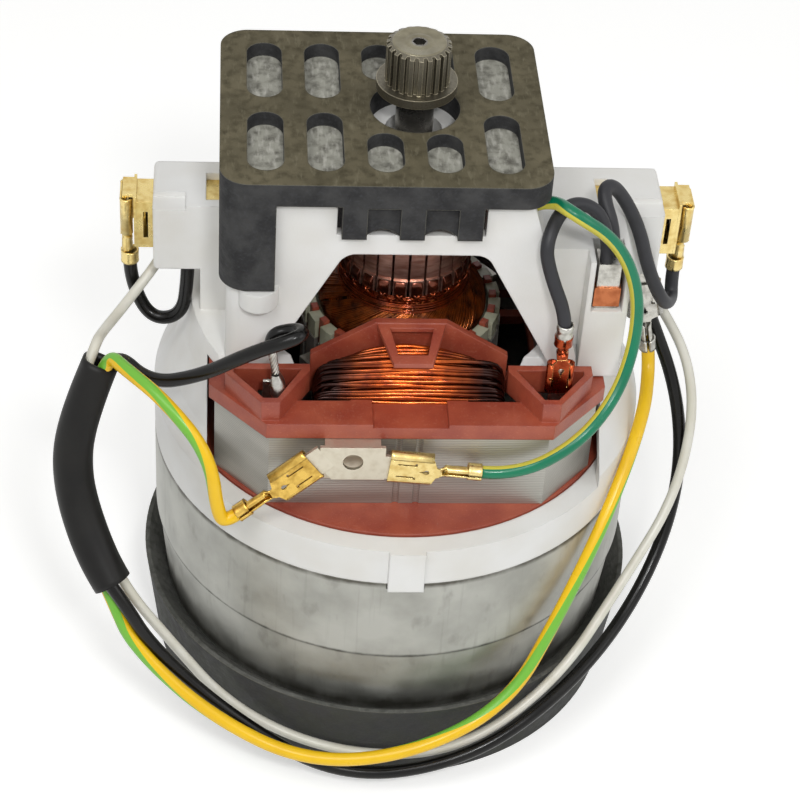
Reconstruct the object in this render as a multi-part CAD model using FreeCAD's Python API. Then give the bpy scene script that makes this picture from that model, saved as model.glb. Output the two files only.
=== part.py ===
import FreeCAD, Part
import math
import os

V = FreeCAD.Vector
os.makedirs("parts", exist_ok=True)

# A vertical vacuum-cleaner motor. The shaft is the Z axis, the floor is z = 0,
# the viewer of the photograph stands at -Y. All sizes are in millimetres.

# Shaft line
shaft_r = 4.0
spigot_r = 2.5
shaft_bottom_z = 5.6
pinion_seat_z = 153.0
pinion_flange_h = 2.0
pinion_flange_r = 8.45
pinion_teeth = 22
pinion_tip_r = 6.7
pinion_root_r = 5.95
pinion_bevel = 0.6
pinion_h = 11.0
hex_socket_flats = 2.5
hex_socket_depth = 2.0
press_gap = 0.02

# Bearings
bearing_r = 11.0
bearing_h = 7.0
bearing_inner_r = 6.1
bearing_gap = 0.3
upper_bearing_z = 131.0
lower_bearing_z = 41.0

# Commutator and brushes
commutator_r = 13.5
commutator_bars = 24
commutator_bottom_z = 112.5
commutator_top_z = 128.0
bar_depth = 4.0
bar_gap = 0.5
riser_r = 13.9
riser_h = 4.1
brush_z = 119.5
brush_thick = 6.8
brush_tall = 10.4
brush_long = 30.0
brush_fit = 0.1
brush_face_gap = 0.1
tube_wall = 0.7
tube_start_x = 17.0
tube_end_x = 58.0
cap_thick = 0.6
blade_thick = 0.8
blade_wide = 6.3
spring_r = 3.0
spring_wall = 0.6

# Armature
armature_r = 22.2
armature_gap = 0.6
core_bottom_z = 72.5
core_top_z = 92.3
armature_overhang = 1.2
armature_slots = 24
slot_open = 1.6
slot_floor_r = 13.8
slot_roof_r = 20.4
end_insulator_h = 4.6
end_plate_h = 1.4
lobe_r = 18.9
lobe_depth = 0.95
neck_r = 13.1
winding_top_z = 107.6
winding_low_z = 60.0
lobe_low_rise = 3.4
lobe_high_rise = 3.6
lobe_taper = 1.6
lobe_low_taper = 3.4
dome_taper = 2.2
dome_high = 5.6
neck_swell = 0.6
neck_long = 2.2

# Stator core
stator_front_y = 40.3
stator_flat_x = 29.7
stator_side_x = 41.2
stator_chamfer_y = 28.0
yoke_front = 6.5
yoke_side = 8.2
pole_neck_x = 13.0
pole_shoe = 4.4
pole_half_angle = 57.0

# Field coils
coil_gap = 0.5
coil_build = 7.0
coil_deep = 5.2
coil_top_z = 108.4
coil_end_z = 101.6
coil_low_z = 59.0

# Red end frames
frame_thick = 3.8
frame_overhang = 1.2
gable_top_z = 111.4
gable_low_z = 102.6
gable_top_x = 7.5
gable_low_x = 21.0
gable_thick = 1.6
strap_foot_x = 4.1
strap_foot_y = 37.0
strap_eye_x = 4.6
strap_eye_y = 27.6
strap_fall = 0.2
strap_thick = 1.1
gable_y = 26.4
pocket_top_z = 101.0
lower_frame_thick = 2.4
lower_frame_r = 50.0

# White motor housing
wall = 2.4
tower_left_x = 39.0
tower_right_x = 23.2
tower_y = 26.0
tower_top_z = 142.7
deck_thick = 3.0
tower_gap = 0.4
right_leg_x = 35.6
window_top_z = 129.2
window_top_x = 14.7
window_foot_x = 32.0
window_corner_r = 4.0
shoulder_left_x = 44.5
shoulder_right_x = 45.4
panel_y = 21.0
holder_cover = 1.88
pocket_deep = 13.0
pocket_block_x = 36.4
pocket_block_y = 25.6
pocket_cut_wall = 1.2
notch_left_x = 16.6
notch_right_x = 13.9
notch_foot_z = 134.2
boss_x = 32.2
boss_r = 4.15
boss_foot_z = 114.0
boss_top_z = 120.6
holder_in_x = 42.0
holder_out_x = 54.5
holder_y = 8.0
holder_low_z = 110.7
ring_wall = 4.65
ring_low_z = 62.4
ring_top_z = 71.9
ring_gap = 0.25
ring_ledge = 1.6
skirt_wall = 2.4
skirt_clear = 3.8
shelf_wide = 12.6
skirt_top_z = 99.5
skirt_top_y = 22.5
skirt_foot_y = 37.0
hub_r = 15.0
hub_low_z = 130.0
shaft_hole_r = 6.0
clip_half_x = 3.9

# Rubber mounts
rubber_left_x = 40.5
rubber_right_x = 27.0
rubber_y = 28.2
rubber_thick = 5.3
rubber_corner_r = 6.0
rubber_hole_r = 9.4
recess_wide = 7.4
recess_deep = 3.3
recess_pitch = 12.2
recess_near_y = 2.7
recess_short_y = 9.7
recess_far_y = 23.2
recess_first_x = 31.2
comb_left_x = 15.7
comb_right_x = 13.0
comb_foot_z = 134.6
comb_tooth = 5.1
leg_foot_z = 121.0
leg_in_x = 29.0
seat_gap = 0.3
foot_lip_wall = 5.1
foot_low_wall = 2.4
foot_eye_r = 30.0
foot_lip_z = 24.0
foot_seat_z = 19.8

# Fan end
shell_wall = 1.0
shell_step_z = 39.6
shell_step = 0.5
shell_taper = 2.3
shell_floor_z = 3.0
inlet_r = 20.0
impeller_gap = 5.6
impeller_low_z = 9.0
impeller_top_z = 21.0
impeller_blades = 9
impeller_sheet = 1.2
diffuser_z = 24.0
diffuser_plate = 2.4
diffuser_vanes = 8
bracket_plate_z = 50.0
bracket_plate = 3.0
bracket_rim = 3.0
spacer_r = 6.4

# Earth bracket and its blades
bracket_left_x = 19.0
bracket_right_x = 5.2
earth_y = 44.0
earth_low_z = 83.2
earth_top_z = 92.2
earth_hole_r = 2.15
earth_hole_x = 12.0
earth_hole_z = 88.1
earth_blade_z = 86.8
earth_blade_long = 9.4
side_blade_z = 89.6
side_blade_long = 10.6
far_tab_clear = 4.8

# Terminals
receptacle_long = 19.6
receptacle_box = 8.0
receptacle_wide = 7.8
receptacle_high = 2.7
receptacle_sheet = 0.45
crimp_long = 5.5
crimp_r = 1.75

# Wires
lead_r = 1.5
white_r = 1.15
bond_r = 1.4
field_lead_r = 1.45
sleeve_r = 4.6
sleeve_wall = 0.6
cord_sides = 8


def box(x0, x1, y0, y1, z0, z1):
    return Part.makeBox(x1 - x0, y1 - y0, z1 - z0, V(x0, y0, z0))


def rod(r, z0, z1, x=0, y=0):
    return Part.makeCylinder(r, z1 - z0, V(x, y, z0))


def tube(r_out, r_in, z0, z1):
    return rod(r_out, z0, z1).cut(rod(r_in, z0 - 1, z1 + 1))


def prism(points, z0, z1):
    """Closed outline in XY, raised from z0 to z1."""
    corners = [V(x, y, z0) for x, y in points]
    face = Part.Face(Part.makePolygon(corners + [corners[0]]))
    return face.extrude(V(0, 0, z1 - z0))


def front_plate(points, y0, y1):
    """Closed outline in XZ, extended from y0 to y1."""
    corners = [V(x, y0, z) for x, z in points]
    face = Part.Face(Part.makePolygon(corners + [corners[0]]))
    return face.extrude(V(0, y1 - y0, 0))


def turned(points):
    """Outline of radius and height, turned about the shaft line."""
    corners = [V(r, 0, z) for r, z in points]
    face = Part.Face(Part.makePolygon(corners + [corners[0]]))
    return face.revolve(V(0, 0, 0), V(0, 0, 1), 360)


def slot(x, y0, y1, wide, z0, z1):
    r = wide / 2
    body = box(x - r, x + r, y0 + r, y1 - r, z0, z1)
    return body.fuse([rod(r, z0, z1, x, y0 + r), rod(r, z0, z1, x, y1 - r)]).removeSplitter()


def upright(shape, x, y):
    """The edges of a shape that stand parallel to Z near a corner."""
    found = []
    for e in shape.Edges:
        a = e.Vertexes[0].Point
        b = e.Vertexes[-1].Point
        near = math.hypot(a.x - x, a.y - y) < 0.01 and math.hypot(b.x - x, b.y - y) < 0.01
        if near and abs(a.z - b.z) > 0.01:
            found.append(e)
    return found


def wedge(angle, half, r, z0, z1):
    """A sector about the shaft line, centred on an angle in degrees."""
    outline = [(0, 0)]
    for a in (angle - half, angle - half / 2, angle, angle + half / 2, angle + half):
        outline.append((r * math.cos(math.radians(a)), r * math.sin(math.radians(a))))
    return prism(outline, z0, z1)


def around(shape, count, first=0.0):
    copies = []
    for i in range(count):
        copy = shape.copy()
        copy.rotate(V(0, 0, 0), V(0, 0, 1), first + 360.0 * i / count)
        copies.append(copy)
    return copies


def mirrored_x(shape):
    return shape.mirror(V(0, 0, 0), V(1, 0, 0))


def mirrored_y(shape):
    return shape.mirror(V(0, 0, 0), V(0, 1, 0))


def placed(shape, origin, along, up):
    """Local X goes along one direction, local Z leans towards the other."""
    turn = FreeCAD.Rotation(V(*along), V(0, 0, 0), V(*up), "XZY")
    moved = shape.copy()
    moved.Placement = FreeCAD.Placement(V(*origin), turn)
    return moved


def save(name, shape):
    if shape.ShapeType == "Compound" and len(shape.Solids) == 1:
        shape = shape.Solids[0]
    for s in shape.Solids:
        if not s.isValid() or s.Volume <= 0:
            print("check", name)
    shape.exportStep("parts/" + name + ".step")
    print(name, len(shape.Solids), round(shape.Volume))


def cord(name, points, r, sides=cord_sides):
    """A wire along straight runs joined by tangent arcs."""
    pts = [V(*p) for p in points]
    edges = []
    radii = []
    start = pts[0]
    for i in range(1, len(pts) - 1):
        before = pts[i] - pts[i - 1]
        after = pts[i + 1] - pts[i]
        turn = before.getAngle(after)
        cut = 0.45 * min(before.Length, after.Length)
        radius = cut / math.tan(turn / 2)
        radii.append(radius)
        into = before.normalize()
        out = after.normalize()
        a = pts[i] - into * cut
        b = pts[i] + out * cut
        bisector = (out - into).normalize()
        centre = pts[i] + bisector * math.hypot(radius, cut)
        middle = centre - bisector * radius
        edges.append(Part.LineSegment(start, a).toShape())
        edges.append(Part.Arc(a, middle, b).toShape())
        start = b
    edges.append(Part.LineSegment(start, pts[-1]).toShape())
    path = Part.Wire(edges)
    along = (pts[1] - pts[0]).normalize()
    side = along.cross(V(0, 0, 1))
    if side.Length < 0.1:
        side = along.cross(V(1, 0, 0))
    side.normalize()
    other = along.cross(side)
    corners = []
    for k in range(sides):
        t = 2 * math.pi * (k + 0.5) / sides
        corners.append(pts[0] + side * (r * math.cos(t)) + other * (r * math.sin(t)))
    outline = Part.makePolygon(corners + [corners[0]])
    body = path.makePipeShell([outline], True, False)
    area = 0.5 * sides * r * r * math.sin(2 * math.pi / sides)
    print(name, "length", round(path.Length, 1), "least radius", round(min(radii), 1),
          "volume ratio", round(body.Volume / (area * path.Length), 4))
    return body


def receptacle(wide=receptacle_wide, long=receptacle_long, head=receptacle_box, high=receptacle_high):
    """Push-on terminal: wire end at x = 0, mouth towards +X, flat back at z = 0."""
    t = receptacle_sheet
    half = wide / 2
    lip = 1.3
    profile = [(-half, 0), (half, 0), (half, high), (lip, high), (lip, high - 2 * t),
               (lip + t, high - 2 * t),
               (lip + t, high - t), (half - t, high - t), (half - t, t), (t - half, t),
               (t - half, high - t),
               (-lip - t, high - t), (-lip - t, high - 2 * t), (-lip, high - 2 * t), (-lip, high),
               (-half, high)]
    corners = [V(long - head, y, z) for y, z in profile]
    shell = Part.Face(Part.makePolygon(corners + [corners[0]])).extrude(V(head, 0, 0))
    neck = prism([(crimp_long - 0.5, -crimp_r), (long - head, -half), (long - head, half),
                  (crimp_long - 0.5, crimp_r)], 0, t)
    rim = []
    for k in range(cord_sides + 1):
        a = 2 * math.pi * (k + 0.5) / cord_sides
        rim.append(V(0, crimp_r * math.cos(a), crimp_r + crimp_r * math.sin(a)))
    barrel = Part.Face(Part.makePolygon(rim)).extrude(V(crimp_long, 0, 0))
    grip = Part.makeBox(crimp_long * 0.4, 2 * crimp_r + 0.6, crimp_r, V(0, -crimp_r - 0.3, 0))
    return shell.fuse([neck, barrel, grip]).removeSplitter()


# Rotor shaft, with the stepped top that the pinion sits on
pinion_top_z = pinion_seat_z + pinion_h
shaft = rod(shaft_r, shaft_bottom_z, pinion_seat_z).fuse(rod(spigot_r, pinion_seat_z, pinion_top_z))
hexagon = []
for k in range(6):
    corner = hex_socket_flats / 2 / math.cos(math.pi / 6)
    hexagon.append((corner * math.cos(k * math.pi / 3), corner * math.sin(k * math.pi / 3)))
shaft = shaft.cut(prism(hexagon, pinion_top_z - hex_socket_depth, pinion_top_z + 1))
shaft = shaft.removeSplitter()
save("rotor_shaft", shaft)

# Drive pinion for a toothed belt: round-bottomed gaps cut from the tip circle, over a flange
blank = turned([(0, pinion_seat_z + pinion_flange_h), (pinion_tip_r, pinion_seat_z + pinion_flange_h),
                (pinion_tip_r, pinion_top_z - pinion_bevel), (pinion_root_r - 0.3, pinion_top_z),
                (0, pinion_top_z)])
tooth_pitch = 2 * math.pi * pinion_tip_r / pinion_teeth
gap_half = tooth_pitch * 0.29
gap_foot = tooth_pitch * 0.17
gap = prism([(pinion_root_r, -gap_foot), (pinion_tip_r + 0.2, -gap_half), (pinion_tip_r + 0.2, gap_half),
             (pinion_root_r, gap_foot)], pinion_seat_z + pinion_flange_h, pinion_top_z + 1)
blank = blank.cut(Part.makeCompound(around(gap, pinion_teeth)))
flange = rod(pinion_flange_r, pinion_seat_z, pinion_seat_z + pinion_flange_h)
pinion = blank.fuse(flange).cut(rod(spigot_r + press_gap, pinion_seat_z - 1, pinion_top_z + 1))
save("drive_pinion", pinion.removeSplitter())


# Ball bearings, one at each end of the armature: the outer rings stand still, the inner ones turn
outer_ring = tube(bearing_r, bearing_inner_r + bearing_gap, 0, bearing_h)
inner_ring = tube(bearing_inner_r, shaft_r + press_gap, 0, bearing_h)
outer_rings = []
inner_rings = []
for z in (upper_bearing_z, lower_bearing_z):
    outer_rings.append(outer_ring.translated(V(0, 0, z)))
    inner_rings.append(inner_ring.translated(V(0, 0, z)))
save("bearing_outer_rings", Part.makeCompound(outer_rings))
save("bearing_inner_rings", Part.makeCompound(inner_rings))

# Commutator: copper bars with risers round a moulded hub
bar_in_r = commutator_r - bar_depth
riser_z = commutator_bottom_z - riser_h
bar = turned([(bar_in_r, riser_z), (riser_r, riser_z), (riser_r, commutator_bottom_z),
              (commutator_r, commutator_bottom_z), (commutator_r, commutator_top_z),
              (bar_in_r, commutator_top_z)])
half_step = 180.0 / commutator_bars
half_gap = math.degrees(bar_gap / 2 / commutator_r)
bar = bar.common(wedge(0, half_step - half_gap, riser_r + 3, riser_z - 1, commutator_top_z + 1))
save("commutator_bars", Part.makeCompound(around(bar, commutator_bars, half_step)))
hub = tube(bar_in_r - press_gap, shaft_r + press_gap, riser_z, commutator_top_z - 0.8)
save("commutator_hub", hub)

# Armature core: slots open at the rim, wider inside
armature_low_z = core_bottom_z - armature_overhang
armature_top_z = core_top_z + armature_overhang
slot_step = 2 * math.pi / armature_slots
roof_half = slot_roof_r * math.sin(slot_step / 2) - 0.9
floor_half = slot_floor_r * math.sin(slot_step / 2) - 0.9
armature_slot = prism([(slot_floor_r, -floor_half), (slot_roof_r, -roof_half),
                       (slot_roof_r + 0.7, -slot_open / 2),
                       (armature_r + 1, -slot_open / 2), (armature_r + 1, slot_open / 2),
                       (slot_roof_r + 0.7, slot_open / 2), (slot_roof_r, roof_half),
                       (slot_floor_r, floor_half)],
                      armature_low_z - 10, armature_top_z + 10)
armature_cuts = Part.makeCompound(around(armature_slot, armature_slots))
armature = tube(armature_r, shaft_r + press_gap, armature_low_z, armature_top_z).cut(armature_cuts)
save("armature_core", armature)

# Pale end insulators of the armature: a plate on each end of the core with a tall fin on every tooth
end_r = armature_r - 0.3
fin_in_r = slot_roof_r - 1.2
plate_r = fin_in_r + 0.1
end_plate = tube(plate_r, shaft_r + 2, 0, end_plate_h)
fin_half = slot_open / 2 + 0.2


def tooth_fin(z0, z1):
    """A fin as wide as one armature tooth, standing at the rim."""
    half_in = fin_in_r * math.tan(slot_step / 2) - fin_half
    half_out = end_r * math.sin(slot_step / 2) - fin_half
    flat_x = math.sqrt(end_r ** 2 - half_out ** 2)
    outline = [(fin_in_r, -half_in), (flat_x, -half_out), (end_r, 0), (flat_x, half_out),
               (fin_in_r, half_in)]
    return prism(outline, z0, z1)


top_end = end_plate.fuse(around(tooth_fin(0, end_insulator_h), armature_slots, 180.0 / armature_slots))
top_end.translate(V(0, 0, armature_top_z))
low_fins = around(tooth_fin(end_plate_h - end_insulator_h, end_plate_h), armature_slots,
                  180.0 / armature_slots)
low_end = end_plate.fuse(low_fins)
low_end.translate(V(0, 0, armature_low_z - end_plate_h))
save("armature_end_insulators", Part.makeCompound([top_end.removeSplitter(), low_end.removeSplitter()]))

# Red wedges that close the slots, standing a little past the core
wedge_in_r = slot_roof_r - 1.0
slot_wedge = box(wedge_in_r, slot_roof_r + 0.5, -slot_open / 2 - 0.1, slot_open / 2 + 0.1,
                 armature_low_z - end_insulator_h, armature_top_z + end_insulator_h + 0.8)
save("slot_wedges", Part.makeCompound(around(slot_wedge, armature_slots)))


def lobed_ring(r, z):
    """Corners round the shaft with one flat-topped lobe to each armature slot."""
    step = 360.0 / armature_slots
    corners = []
    for i in range(armature_slots):
        for turn, reach in ((-step * 0.28, r), (step * 0.28, r), (step * 0.5, r * lobe_depth)):
            a = math.radians(i * step + turn)
            corners.append(V(reach * math.cos(a), reach * math.sin(a), z))
    return corners


def flat_sided(rings):
    """A solid with flat sides between rings of corners, the lowest ring first."""
    faces = []
    for low, high in zip(rings, rings[1:]):
        for k in range(len(low)):
            j = (k + 1) % len(low)
            faces.append(Part.Face(Part.makePolygon([low[k], low[j], high[j], high[k], low[k]])))
    for ring in (rings[0], rings[-1]):
        faces.append(Part.Face(Part.makePolygon(ring + [ring[0]])))
    body = Part.makeSolid(Part.makeShell(faces))
    if body.Volume < 0:
        body.reverse()
    return body


# Armature winding: end turns above and below, with one lobe to each slot
upper_foot_z = armature_top_z + end_plate_h
lower_foot_z = armature_low_z - end_plate_h
upper_turns = flat_sided([lobed_ring(lobe_r - lobe_taper, upper_foot_z),
                          lobed_ring(lobe_r, upper_foot_z + lobe_high_rise),
                          lobed_ring(lobe_r - dome_taper, winding_top_z - dome_high),
                          lobed_ring(neck_r + neck_swell, winding_top_z - neck_long),
                          lobed_ring(neck_r, winding_top_z)])
lower_turns = flat_sided([lobed_ring(lobe_r - lobe_low_taper, winding_low_z),
                          lobed_ring(lobe_r, winding_low_z + lobe_low_rise),
                          lobed_ring(lobe_r - lobe_taper, lower_foot_z)])
shaft_hole = rod(shaft_r + press_gap, winding_low_z - 1, winding_top_z + 1)
save("armature_winding", Part.makeCompound([upper_turns.cut(shaft_hole), lower_turns.cut(shaft_hole)]))

# Stator core outline: flats, chamfered corners, two poles and the coil space between them
core_outline = [(-stator_flat_x, -stator_front_y), (stator_flat_x, -stator_front_y),
                (stator_side_x, -stator_chamfer_y), (stator_side_x, stator_chamfer_y),
                (stator_flat_x, stator_front_y), (-stator_flat_x, stator_front_y),
                (-stator_side_x, stator_chamfer_y), (-stator_side_x, -stator_chamfer_y)]
core = prism(core_outline, core_bottom_z, core_top_z)
void_x = stator_side_x - yoke_side
void_y = stator_front_y - yoke_front
bore_r = armature_r + armature_gap
shoe_r = bore_r + pole_shoe


def coil_space(z0, z1):
    space = box(-void_x, void_x, -void_y, void_y, z0, z1)
    corners = []
    for x in (-void_x, void_x):
        for y in (-void_y, void_y):
            corners += upright(space, x, y)
    space = space.makeFillet(4.0, corners)
    ring = tube(shoe_r, bore_r, z0, z1)
    poles = []
    for side in (-90, 90):
        poles.append(ring.common(wedge(side, pole_half_angle, shoe_r * 1.2, z0, z1)))
    neck = box(-pole_neck_x, pole_neck_x, -void_y - 1, void_y + 1, z0, z1)
    neck = neck.cut(rod(bore_r, z0 - 1, z1 + 1))
    return space.cut(poles[0].fuse([poles[1], neck]))


core = core.cut(coil_space(core_bottom_z - 1, core_top_z + 1))
weld_pitch = 4.4
weld = Part.makeCylinder(0.9, core_top_z - core_bottom_z, V(0, 0, core_bottom_z))
weld_grooves = []
for x in (-weld_pitch / 2, weld_pitch / 2):
    for y in (-stator_front_y - 0.5, stator_front_y + 0.5):
        groove = weld.copy()
        groove.translate(V(x, y, 0))
        weld_grooves.append(groove)
core = core.cut(Part.makeCompound(weld_grooves))
save("stator_core", core)

# Field coils: a bundle round each pole neck, taller in the middle of its top
neck_x = pole_neck_x + coil_gap
coil_out_x = neck_x + coil_build
coil_front_y = -void_y + coil_gap


def frame_outline(half, low, high, y, r):
    """Rounded upright rectangle as a wire in the plane of one y."""
    a = r * (1 - math.sqrt(0.5))
    x0, x1 = -half, half
    parts = [Part.LineSegment(V(x0 + r, y, low), V(x1 - r, y, low)),
             Part.Arc(V(x1 - r, y, low), V(x1 - a, y, low + a), V(x1, y, low + r)),
             Part.LineSegment(V(x1, y, low + r), V(x1, y, high - r)),
             Part.Arc(V(x1, y, high - r), V(x1 - a, y, high - a), V(x1 - r, y, high)),
             Part.LineSegment(V(x1 - r, y, high), V(x0 + r, y, high)),
             Part.Arc(V(x0 + r, y, high), V(x0 + a, y, high - a), V(x0, y, high - r)),
             Part.LineSegment(V(x0, y, high - r), V(x0, y, low + r)),
             Part.Arc(V(x0, y, low + r), V(x0 + a, y, low + a), V(x0 + r, y, low))]
    return Part.Wire([p.toShape() for p in parts])


def crowned_outline(half, low, end, crown, y):
    """Upright sides under a top that bows up to its crown."""
    sides = Part.makePolygon([V(half, y, end), V(half, y, low + 6.0), V(half - 6.0, y, low),
                              V(6.0 - half, y, low), V(-half, y, low + 6.0), V(-half, y, end)])
    top = Part.Arc(V(-half, y, end), V(0, y, crown), V(half, y, end)).toShape()
    return Part.Wire(sides.Edges + [top])


coil_in_top = core_top_z + frame_thick
coil_in_low = core_bottom_z - lower_frame_thick - 0.8
bundle = Part.Face(crowned_outline(coil_out_x, coil_low_z, coil_end_z, coil_top_z, coil_front_y))
bundle = bundle.cut(Part.Face(frame_outline(neck_x, coil_in_low, coil_in_top, coil_front_y, 1.0)))
bundle = bundle.extrude(V(0, coil_deep, 0))
save("field_coil_front", bundle)
save("field_coil_rear", mirrored_y(bundle))


def sloped_plate(outline, margin=0.0):
    """A plate over corners seen from above, which falls towards the front from the top of the gable."""
    corners = []
    for x, y in outline + outline[:1]:
        corners.append(V(x, y, gable_top_z + margin + strap_fall * (y + gable_y - gable_thick / 2)))
    return Part.Face(Part.makePolygon(corners)).extrude(V(0, 0, -strap_thick - 2 * margin))


# Upper red end frame: plate on the core, gables behind the coils, straps and terminal pockets
plate_low_z = core_top_z
plate_top_z = plate_low_z + frame_thick
o = frame_overhang
plate_outline = [(-stator_flat_x - o / 2, -stator_front_y - o),
                 (stator_flat_x + o / 2, -stator_front_y - o),
                 (stator_side_x + o, -stator_chamfer_y - o / 2),
                 (stator_side_x + o, stator_chamfer_y + o / 2),
                 (stator_flat_x + o / 2, stator_front_y + o), (-stator_flat_x - o / 2, stator_front_y + o),
                 (-stator_side_x - o, stator_chamfer_y + o / 2),
                 (-stator_side_x - o, -stator_chamfer_y - o / 2)]
upper = prism(plate_outline, plate_low_z, plate_top_z)
coil_hole = box(-void_x + 1, void_x - 1, -void_y, void_y, plate_low_z - 1, plate_top_z + 1)
upper = upper.cut(coil_hole)
neck_bridge = box(-neck_x + 1, neck_x - 1, -void_y - 1, -gable_y + gable_thick, plate_low_z, plate_top_z)
gable = front_plate([(-gable_low_x, plate_low_z), (gable_low_x, plate_low_z), (gable_low_x, gable_low_z),
                     (gable_top_x, gable_top_z), (-gable_top_x, gable_top_z), (-gable_low_x, gable_low_z)],
                    -gable_y, -gable_y + gable_thick)
strap = sloped_plate([(-gable_top_x, -gable_y + gable_thick / 2), (gable_top_x, -gable_y + gable_thick / 2),
                      (strap_foot_x, -strap_foot_y), (-strap_foot_x, -strap_foot_y)])
strap = strap.cut(sloped_plate([(-strap_eye_x, -strap_eye_y), (strap_eye_x, -strap_eye_y),
                                (strap_foot_x - 1.0, 2.4 - strap_foot_y),
                                (1.0 - strap_foot_x, 2.4 - strap_foot_y)], 1.0))
front_former = neck_bridge.fuse([gable, strap])
upper = upper.fuse([front_former, mirrored_y(front_former)])
side_x = void_x - 1
side_tie = box(gable_low_x - 1, side_x + 1, -gable_y, -gable_y + gable_thick + 1, plate_low_z, plate_top_z)
ties = [side_tie, mirrored_x(side_tie), mirrored_y(side_tie), mirrored_y(mirrored_x(side_tie))]
upper = upper.fuse(ties)
pocket_in_x = coil_out_x + 0.6
pocket_out_x = 39.0
pocket_back_y = 27.6
pocket_tip_y = 40.2
pocket_wall = 1.7
pocket = prism([(pocket_in_x, -pocket_back_y - 2.0), (27.6, -pocket_tip_y), (31.4, -pocket_tip_y),
                (pocket_out_x, -pocket_back_y - 3.0), (pocket_out_x, -pocket_back_y),
                (pocket_in_x, -pocket_back_y)],
               plate_top_z - 1, pocket_top_z)
pocket_inside = prism([(pocket_in_x + 1.8, -pocket_back_y - pocket_wall), (28.0, -pocket_tip_y + 1.6),
                       (31.0, -pocket_tip_y + 1.6),
                       (pocket_out_x - 1.8, -pocket_back_y - pocket_wall - 1.2),
                       (pocket_out_x - 1.8, -pocket_back_y - pocket_wall)], plate_top_z - 2.2,
                       pocket_top_z + 1)
pocket = pocket.cut(pocket_inside)
upper = upper.fuse([pocket, mirrored_x(pocket)]).cut(pocket_inside).cut(mirrored_x(pocket_inside))
step = box(-8.0, 8.0, -stator_front_y - o - 1, -void_y + 1, plate_top_z - 0.9, plate_top_z + 1)
upper = upper.cut(step).cut(mirrored_y(step))
save("upper_end_frame", upper.removeSplitter())

# Lower red end frame: a disc that fills the housing ring, with the coil and armature opening
lower_top_z = core_bottom_z
lower = rod(lower_frame_r, lower_top_z - lower_frame_thick, lower_top_z)
lower = lower.cut(box(-void_x + 1, void_x - 1, -void_y, void_y, lower_top_z - 9, lower_top_z + 1))
low_bridge = box(-neck_x + 1, neck_x - 1, -void_y - 1, -gable_y + gable_thick,
                 lower_top_z - lower_frame_thick, lower_top_z)
low_gable = box(-gable_low_x, gable_low_x, -gable_y, -gable_y + gable_thick, coil_low_z + 2, lower_top_z)
low_tie = box(gable_low_x - 1, side_x + 1, -gable_y, -gable_y + gable_thick + 1,
              lower_top_z - lower_frame_thick, lower_top_z)
low_former = low_bridge.fuse([low_gable, low_tie, mirrored_x(low_tie)])
lower = lower.fuse([low_former, mirrored_y(low_former)])
save("lower_end_frame", lower.removeSplitter())

# Field terminals: tinned blades that stand in the pockets
left_terminal_x = 29.0
left_terminal_y = 33.4
right_terminal_x = 31.4
right_terminal_y = 33.4
pocket_floor = plate_top_z - 2.2
field_blade_half = 2.1
left_blade = box(-left_terminal_x - field_blade_half, -left_terminal_x + field_blade_half,
                 -left_terminal_y - 0.4, -left_terminal_y + 0.4, pocket_floor, pocket_floor + 9.0)
splice_foot = V(-left_terminal_x + 1.2, -left_terminal_y - 0.9, pocket_floor + 5.0)
splice_dir = V(-0.14, 0.06, 0.99).normalize()
splice_long = 11.4
splice = Part.makeCylinder(1.0, splice_long, splice_foot, splice_dir)
save("field_terminal_left", left_blade.fuse(splice))
right_blade = box(right_terminal_x - field_blade_half, right_terminal_x + field_blade_half,
                  -right_terminal_y - 0.4, -right_terminal_y + 0.4, pocket_floor, pocket_floor + 11.4)
save("field_terminal_right", right_blade)
field_clip = receptacle(5.5, 14.2, 6.6, 2.5)
right_clip_top_z = 113.4
field_back_y = -right_terminal_y - 0.5 - receptacle_sheet
field_clip = placed(field_clip, (right_terminal_x, field_back_y, right_clip_top_z), (0, 0, -1), (0, 1, 0))
field_crimp_y = field_back_y + crimp_r
save("field_receptacle", field_clip)

# Motor housing: tower, shoulders, skirts, ring and brush holders in one moulding
tower_foot_z = plate_top_z + tower_gap
front_outline = [(-tower_left_x, tower_foot_z), (-tower_left_x, tower_top_z), (tower_right_x, tower_top_z),
                 (right_leg_x, tower_foot_z + 6.0), (right_leg_x, tower_foot_z)]
outer_front = front_plate(front_outline, -tower_y, tower_y)
left_edges = upright(outer_front, -tower_left_x, -tower_y) + upright(outer_front, -tower_left_x, tower_y)
outer_front = outer_front.makeFillet(3.0, left_edges)
inner_front = front_plate([(-tower_left_x + wall, tower_foot_z - 1),
                           (-tower_left_x + wall, tower_top_z - deck_thick),
                           (tower_right_x - wall, tower_top_z - deck_thick),
                           (right_leg_x - wall, tower_foot_z + 5.4),
                           (right_leg_x - wall, tower_foot_z - 1)],
                          -tower_y + wall, tower_y - wall)
window = front_plate([(-window_foot_x, tower_foot_z - 1), (-window_foot_x, tower_foot_z),
                      (-window_top_x, window_top_z), (window_top_x, window_top_z),
                      (window_foot_x, tower_foot_z), (window_foot_x, tower_foot_z - 1)], -tower_y - 9,
                      tower_y + 9)
window_corners = []
for e in window.Edges:
    a = e.Vertexes[0].Point
    b = e.Vertexes[-1].Point
    if abs(a.z - window_top_z) < 0.01 and abs(b.z - window_top_z) < 0.01 and abs(a.x - b.x) < 0.01:
        window_corners.append(e)
window = window.makeFillet(window_corner_r, window_corners)

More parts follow.
